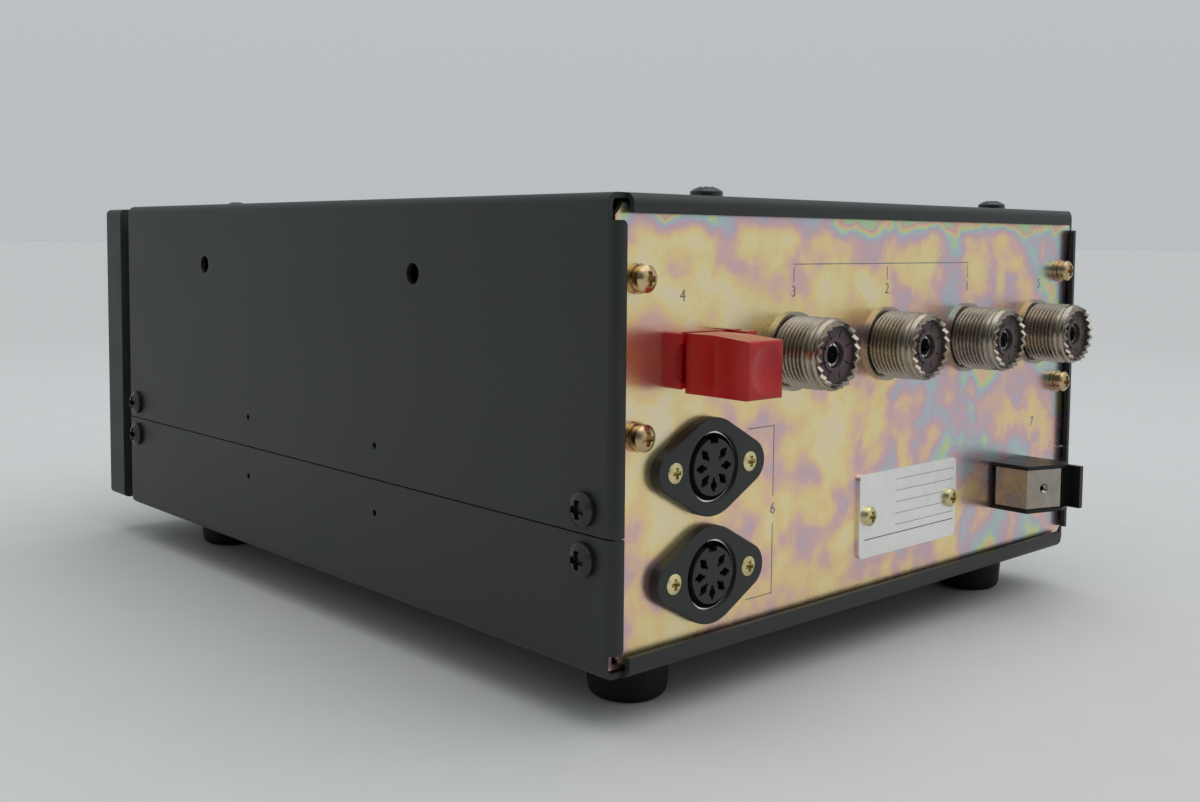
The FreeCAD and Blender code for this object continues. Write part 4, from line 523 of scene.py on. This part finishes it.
def socket_mesh(axis_place, back, mouth):
    """Points and faces of one threaded barrel, revolved about +Y through a place on the panel's face."""
    thread_end = mouth - THREAD_TO_MOUTH
    flange = flange_outline(back)
    thread = thread_rows(THREAD_START, thread_end)
    rings = [[corner] * COLUMNS for corner in flange]
    rings += [[(THREAD_ROOT + rise, height, False) for rise, height in row] for row in thread]
    rings += [[corner] * COLUMNS for corner in mouth_outline(thread_end, mouth)]
    points = []
    for ring in rings:
        for column, (radius, height, toothed) in enumerate(ring):
            angle = 2 * math.pi * column / COLUMNS
            phase = column * TEETH / COLUMNS % 1.0
            drop = TOOTH_DEPTH * toothed * abs(2 * phase - 1)
            place = Vector((radius * math.cos(angle), height - drop, radius * math.sin(angle))) * MM
            points.append(place + axis_place)
    return points, socket_faces(len(rings), first_thread=len(flange), thread_count=len(thread))


def socket_faces(ring_count, first_thread, thread_count):
    """Quads between neighbouring rings. In the thread, the last column meets the first a turn further on."""
    last_thread = first_thread + thread_count - 1

    def point(ring, column):
        if column == COLUMNS:
            column = 0
            if first_thread <= ring <= last_thread:
                ring = min(ring + THREAD_ROWS, last_thread)
        return ring * COLUMNS + column

    faces = []
    for ring in range(ring_count):
        following = (ring + 1) % ring_count
        for column in range(COLUMNS):
            near = (point(ring, column), point(ring, column + 1))
            far = (point(following, column + 1), point(following, column))
            faces.append(near + far)
    return faces


def make_sockets(panel_y, finishes):
    """Threaded barrels in place of the plain ones."""
    for index in range(1, SOCKET_COUNT + 1):
        node = f"coax_socket_{index}"
        low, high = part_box(node)
        centre = (low + high) / 2
        axis_place = Vector((centre.x, panel_y, centre.z))
        points, faces = socket_mesh(axis_place, (low.y - panel_y) / MM, (high.y - panel_y) / MM)
        piece = mesh_piece(f"coax_barrel_{index}", points, faces, finishes["nickel"])
        tidy_mesh(piece)
        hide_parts(node)


# ---- printing -----------------------------------------------------------------------------------
def strip(points, width):
    """Flat band along a path of (x, z) points, in millimetres, as quads."""
    quads = []
    for (x0, z0), (x1, z1) in zip(points, points[1:]):
        run = math.hypot(x1 - x0, z1 - z0)
        along = ((x1 - x0) / run * width / 2, (z1 - z0) / run * width / 2)
        side = (-along[1], along[0])
        quads.append([
            (x0 - along[0] + side[0], z0 - along[1] + side[1]),
            (x1 + along[0] + side[0], z1 + along[1] + side[1]),
            (x1 + along[0] - side[0], z1 + along[1] - side[1]),
            (x0 - along[0] - side[0], z0 - along[1] - side[1]),
        ])
    return quads


def numeral_shapes(text, x, z, height, facing):
    """Flat outlines of numerals, in millimetres, centred on (x, z) and read from the side they face."""
    curve = bpy.data.curves.new("numeral", "FONT")
    curve.body = text
    curve.size = height * FONT_SIZE_TO_HEIGHT
    curve.align_x = "CENTER"
    curve.align_y = "CENTER"
    letter = bpy.data.objects.new("numeral", curve)
    mesh = bpy.data.meshes.new_from_object(letter)
    shapes = []
    for face in mesh.polygons:
        corners = [mesh.vertices[i].co for i in face.vertices]
        shapes.append([(x - facing * c.x, z + c.y) for c in corners])
    bpy.data.objects.remove(letter)
    bpy.data.curves.remove(curve)
    bpy.data.meshes.remove(mesh)
    return shapes


def print_piece(name, shapes, y, material):
    """Printed shapes, given in millimetres, on the plane at y."""
    vertices, faces = [], []
    for shape in shapes:
        start = len(vertices)
        vertices += [(x * MM, y, z * MM) for x, z in shape]
        faces.append(tuple(range(start, start + len(shape))))
    return mesh_piece(name, vertices, faces, material)


def print_rear(panel_y, inks):
    """Thin lines and numerals on the rear panel."""
    y = panel_y + PRINT_LIFT * MM
    sockets = [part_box(f"coax_socket_{index}") for index in (1, 2, 3)]
    drops = [(low.x + high.x) / 2 / MM for low, high in sockets]
    start, end = ANTENNA_DROPS
    lines = strip([(drops[0], ANTENNA_LINE_Z), (drops[-1], ANTENNA_LINE_Z)], PANEL_LINE_WIDTH)
    for x in drops:
        lines += strip([(x, ANTENNA_LINE_Z - start), (x, ANTENNA_LINE_Z - end)], PANEL_LINE_WIDTH)
    edge, upright = ACCESSORY_LINE_X
    top, gap_top = ACCESSORY_LINE_TOP
    bottom, gap_bottom = ACCESSORY_LINE_BOTTOM
    lines += strip([(edge, top), (upright, top), (upright, gap_top)], PANEL_LINE_WIDTH)
    lines += strip([(upright, gap_bottom), (upright, bottom), (edge, bottom)], PANEL_LINE_WIDTH)
    print_piece("panel_lines", lines, y, inks["blue_grey"])

    numerals = [(text, x, ANTENNA_NUMERAL_Z) for text, x in zip("321", drops)]
    shapes = []
    for text, x, z in (*numerals, *OTHER_NUMERALS):
        shapes += numeral_shapes(text, x, z, PANEL_NUMERAL_HEIGHT, facing=1)
    print_piece("panel_numerals", shapes, y, inks["blue_grey"])


def print_plate(inks):
    """Ruled lines on the blank rating plate."""
    low, high = (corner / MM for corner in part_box("rating_plate"))
    y = (high.y + PLATE_PRINT_LIFT) * MM

    def rule(drop, margins, width):
        return strip([(high.x - margins[0], high.z - drop), (low.x + margins[1], high.z - drop)], width)

    lines = []
    for row in range(RULE_COUNT):
        lines += rule(RULE_FIRST + RULE_SPACING * row, RULE_MARGINS, RULE_WIDTH)
    print_piece("plate_rules", lines, y, inks["grey"])
    heavy = rule(HEAVY_RULE_DROP, HEAVY_RULE_MARGINS, HEAVY_RULE_WIDTH)
    print_piece("plate_heavy_rule", heavy, y, inks["black"])


def dial_spot(centre, radius, step):
    """(x, z) at a radius from the dial's centre, at one of its steps."""
    angle = math.radians(DIAL_START + DIAL_STEP * step)
    return centre.x + math.cos(angle) * radius, centre.z + math.sin(angle) * radius


def print_front(inks):
    """Numbered dial marks round the knob and a mark over each button."""
    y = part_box("front_panel")[0].y - PRINT_LIFT * MM
    low, high = (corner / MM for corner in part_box("band_knob"))
    centre = (low + high) / 2
    radius = (high.x - low.x) / 2
    marks, numerals = [], []
    for step in range(DIAL_COUNT):
        marks += strip([dial_spot(centre, radius + gap, step) for gap in DIAL_MARK], MARK_WIDTH)
        x, z = dial_spot(centre, radius + DIAL_NUMERAL_GAP, step)
        numerals += numeral_shapes(str(step + 1), x, z, DIAL_NUMERAL_HEIGHT, facing=-1)
    for node in ("power_button", "mode_button", "tune_button"):
        low, high = (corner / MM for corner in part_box(node))
        middle = (low.x + high.x) / 2
        z = high.z + BUTTON_MARK_GAP
        marks += strip([(middle - BUTTON_MARK_HALF, z), (middle + BUTTON_MARK_HALF, z)], MARK_WIDTH)
    print_piece("dial_marks", marks, y, inks["white"])
    print_piece("dial_numerals", numerals, y, inks["white"])


# ---- stage --------------------------------------------------------------------------------------
def make_floor():
    """Plain pale floor under the feet, with a painted pool of light: lighter near the object, a little
    darker far away.
    """
    half = FLOOR_SIZE / 2
    mesh = bpy.data.meshes.new("floor")
    corners = [(-half, -half, 0), (half, -half, 0), (half, half, 0), (-half, half, 0)]
    mesh.from_pydata(corners, [], [(0, 1, 2, 3)])
    f = Finish("floor")
    cloth = f.noise(14, detail=4, roughness=0.6)
    distance = f.node("ShaderNodeVectorMath", {0: f.place}, operation="LENGTH").outputs["Value"]
    # Painted pool of light: the tone falls from the near value to the far one with distance from the object.
    tone = f.spread(distance, *FLOOR_PAINTED_POOL_FADE, FLOOR_PAINTED_POOL_TONE, FLOOR_FAR_TONE)
    tone = f.times(tone, f.spread(cloth, 0.2, 0.8, 0.985, 1.01))
    tint = f.node("ShaderNodeCombineColor", {"Red": tone, "Green": tone, "Blue": tone}).outputs["Color"]
    f.set(Base_Color=tint, Roughness=0.8)
    mesh.materials.append(f.material)
    floor = bpy.data.objects.new("floor", mesh)
    bpy.context.collection.objects.link(floor)


def side_level(nodes, links, direction, side):
    """Factor that goes from 1 to the side's brightness as a direction nears it."""
    place, (start, end), level = side
    towards = nodes.new("ShaderNodeVectorMath")
    towards.operation = "DOT_PRODUCT"
    links.new(direction, towards.inputs[0])
    towards.inputs[1].default_value = Vector(place).normalized()
    fade = nodes.new("ShaderNodeMapRange")
    fade.interpolation_type = "SMOOTHSTEP"
    for name, value in (("From Min", start), ("From Max", end), ("To Min", 1.0), ("To Max", level)):
        fade.inputs[name].default_value = value
    links.new(towards.outputs["Value"], fade.inputs["Value"])
    return fade.outputs["Result"]


def make_world():
    """Pale surroundings, brightest overhead, with a dark side and a bright one."""
    world = bpy.data.worlds.new("studio")
    world.use_nodes = True
    nodes, links = world.node_tree.nodes, world.node_tree.links
    nodes.clear()
    direction = nodes.new("ShaderNodeTexCoord").outputs["Generated"]
    parts = nodes.new("ShaderNodeSeparateXYZ")
    links.new(direction, parts.inputs[0])
    shade = nodes.new("ShaderNodeMapRange")
    shade.inputs["From Min"].default_value = -1.0
    links.new(parts.outputs["Z"], shade.inputs["Value"])
    ramp = nodes.new("ShaderNodeValToRGB")
    ramp.color_ramp.elements[0].color = WORLD_LOW
    ramp.color_ramp.elements[1].color = WORLD_TOP
    ramp.color_ramp.elements.new(0.5).color = WORLD_LEVEL
    links.new(shade.outputs["Result"], ramp.inputs["Fac"])
    strength = nodes.new("ShaderNodeMath")
    strength.operation = "MULTIPLY"
    links.new(side_level(nodes, links, direction, DARK_SIDE), strength.inputs[0])
    links.new(side_level(nodes, links, direction, BRIGHT_SIDE), strength.inputs[1])
    background = nodes.new("ShaderNodeBackground")
    links.new(ramp.outputs["Color"], background.inputs["Color"])
    links.new(strength.outputs[0], background.inputs["Strength"])
    output = nodes.new("ShaderNodeOutputWorld")
    links.new(background.outputs["Background"], output.inputs["Surface"])
    bpy.context.scene.world = world


def make_sun():
    """A very wide sun overhead."""
    sun = bpy.data.lights.new("overhead", "SUN")
    sun.angle = SUN_WIDTH
    sun.energy = SUN_POWER
    overhead = bpy.data.objects.new("overhead", sun)
    overhead.rotation_euler = SUN_TILT
    bpy.context.collection.objects.link(overhead)


def make_camera():
    """Camera at the photograph's viewing angle."""
    data = bpy.data.cameras.new("camera")
    data.lens = CAMERA_LENS
    data.sensor_width = CAMERA_SENSOR
    data.shift_x, data.shift_y = CAMERA_SHIFT
    data.clip_start = CAMERA_NEAREST
    camera = bpy.data.objects.new("camera", data)
    forward = CAMERA_FORWARD.normalized()
    up = CAMERA_RIGHT.cross(forward).normalized()
    right = forward.cross(up)
    turn = Matrix((right, up, -forward)).transposed()
    camera.matrix_world = Matrix.Translation(CAMERA_PLACE) @ turn.to_4x4()
    bpy.context.collection.objects.link(camera)
    bpy.context.scene.camera = camera


# ---- the scene ----------------------------------------------------------------------------------
bpy.context.scene.view_settings.view_transform = "Standard"
make_camera()
make_world()
make_sun()
make_floor()

finishes = make_finishes()
inks = {name: ink(f"ink_{name}", colour) for name, colour in INKS.items()}
dress_nodes(finishes)

panel_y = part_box("rating_plate")[0].y
make_sockets(panel_y, finishes)
print_rear(panel_y, inks)
print_plate(inks)
print_front(inks)
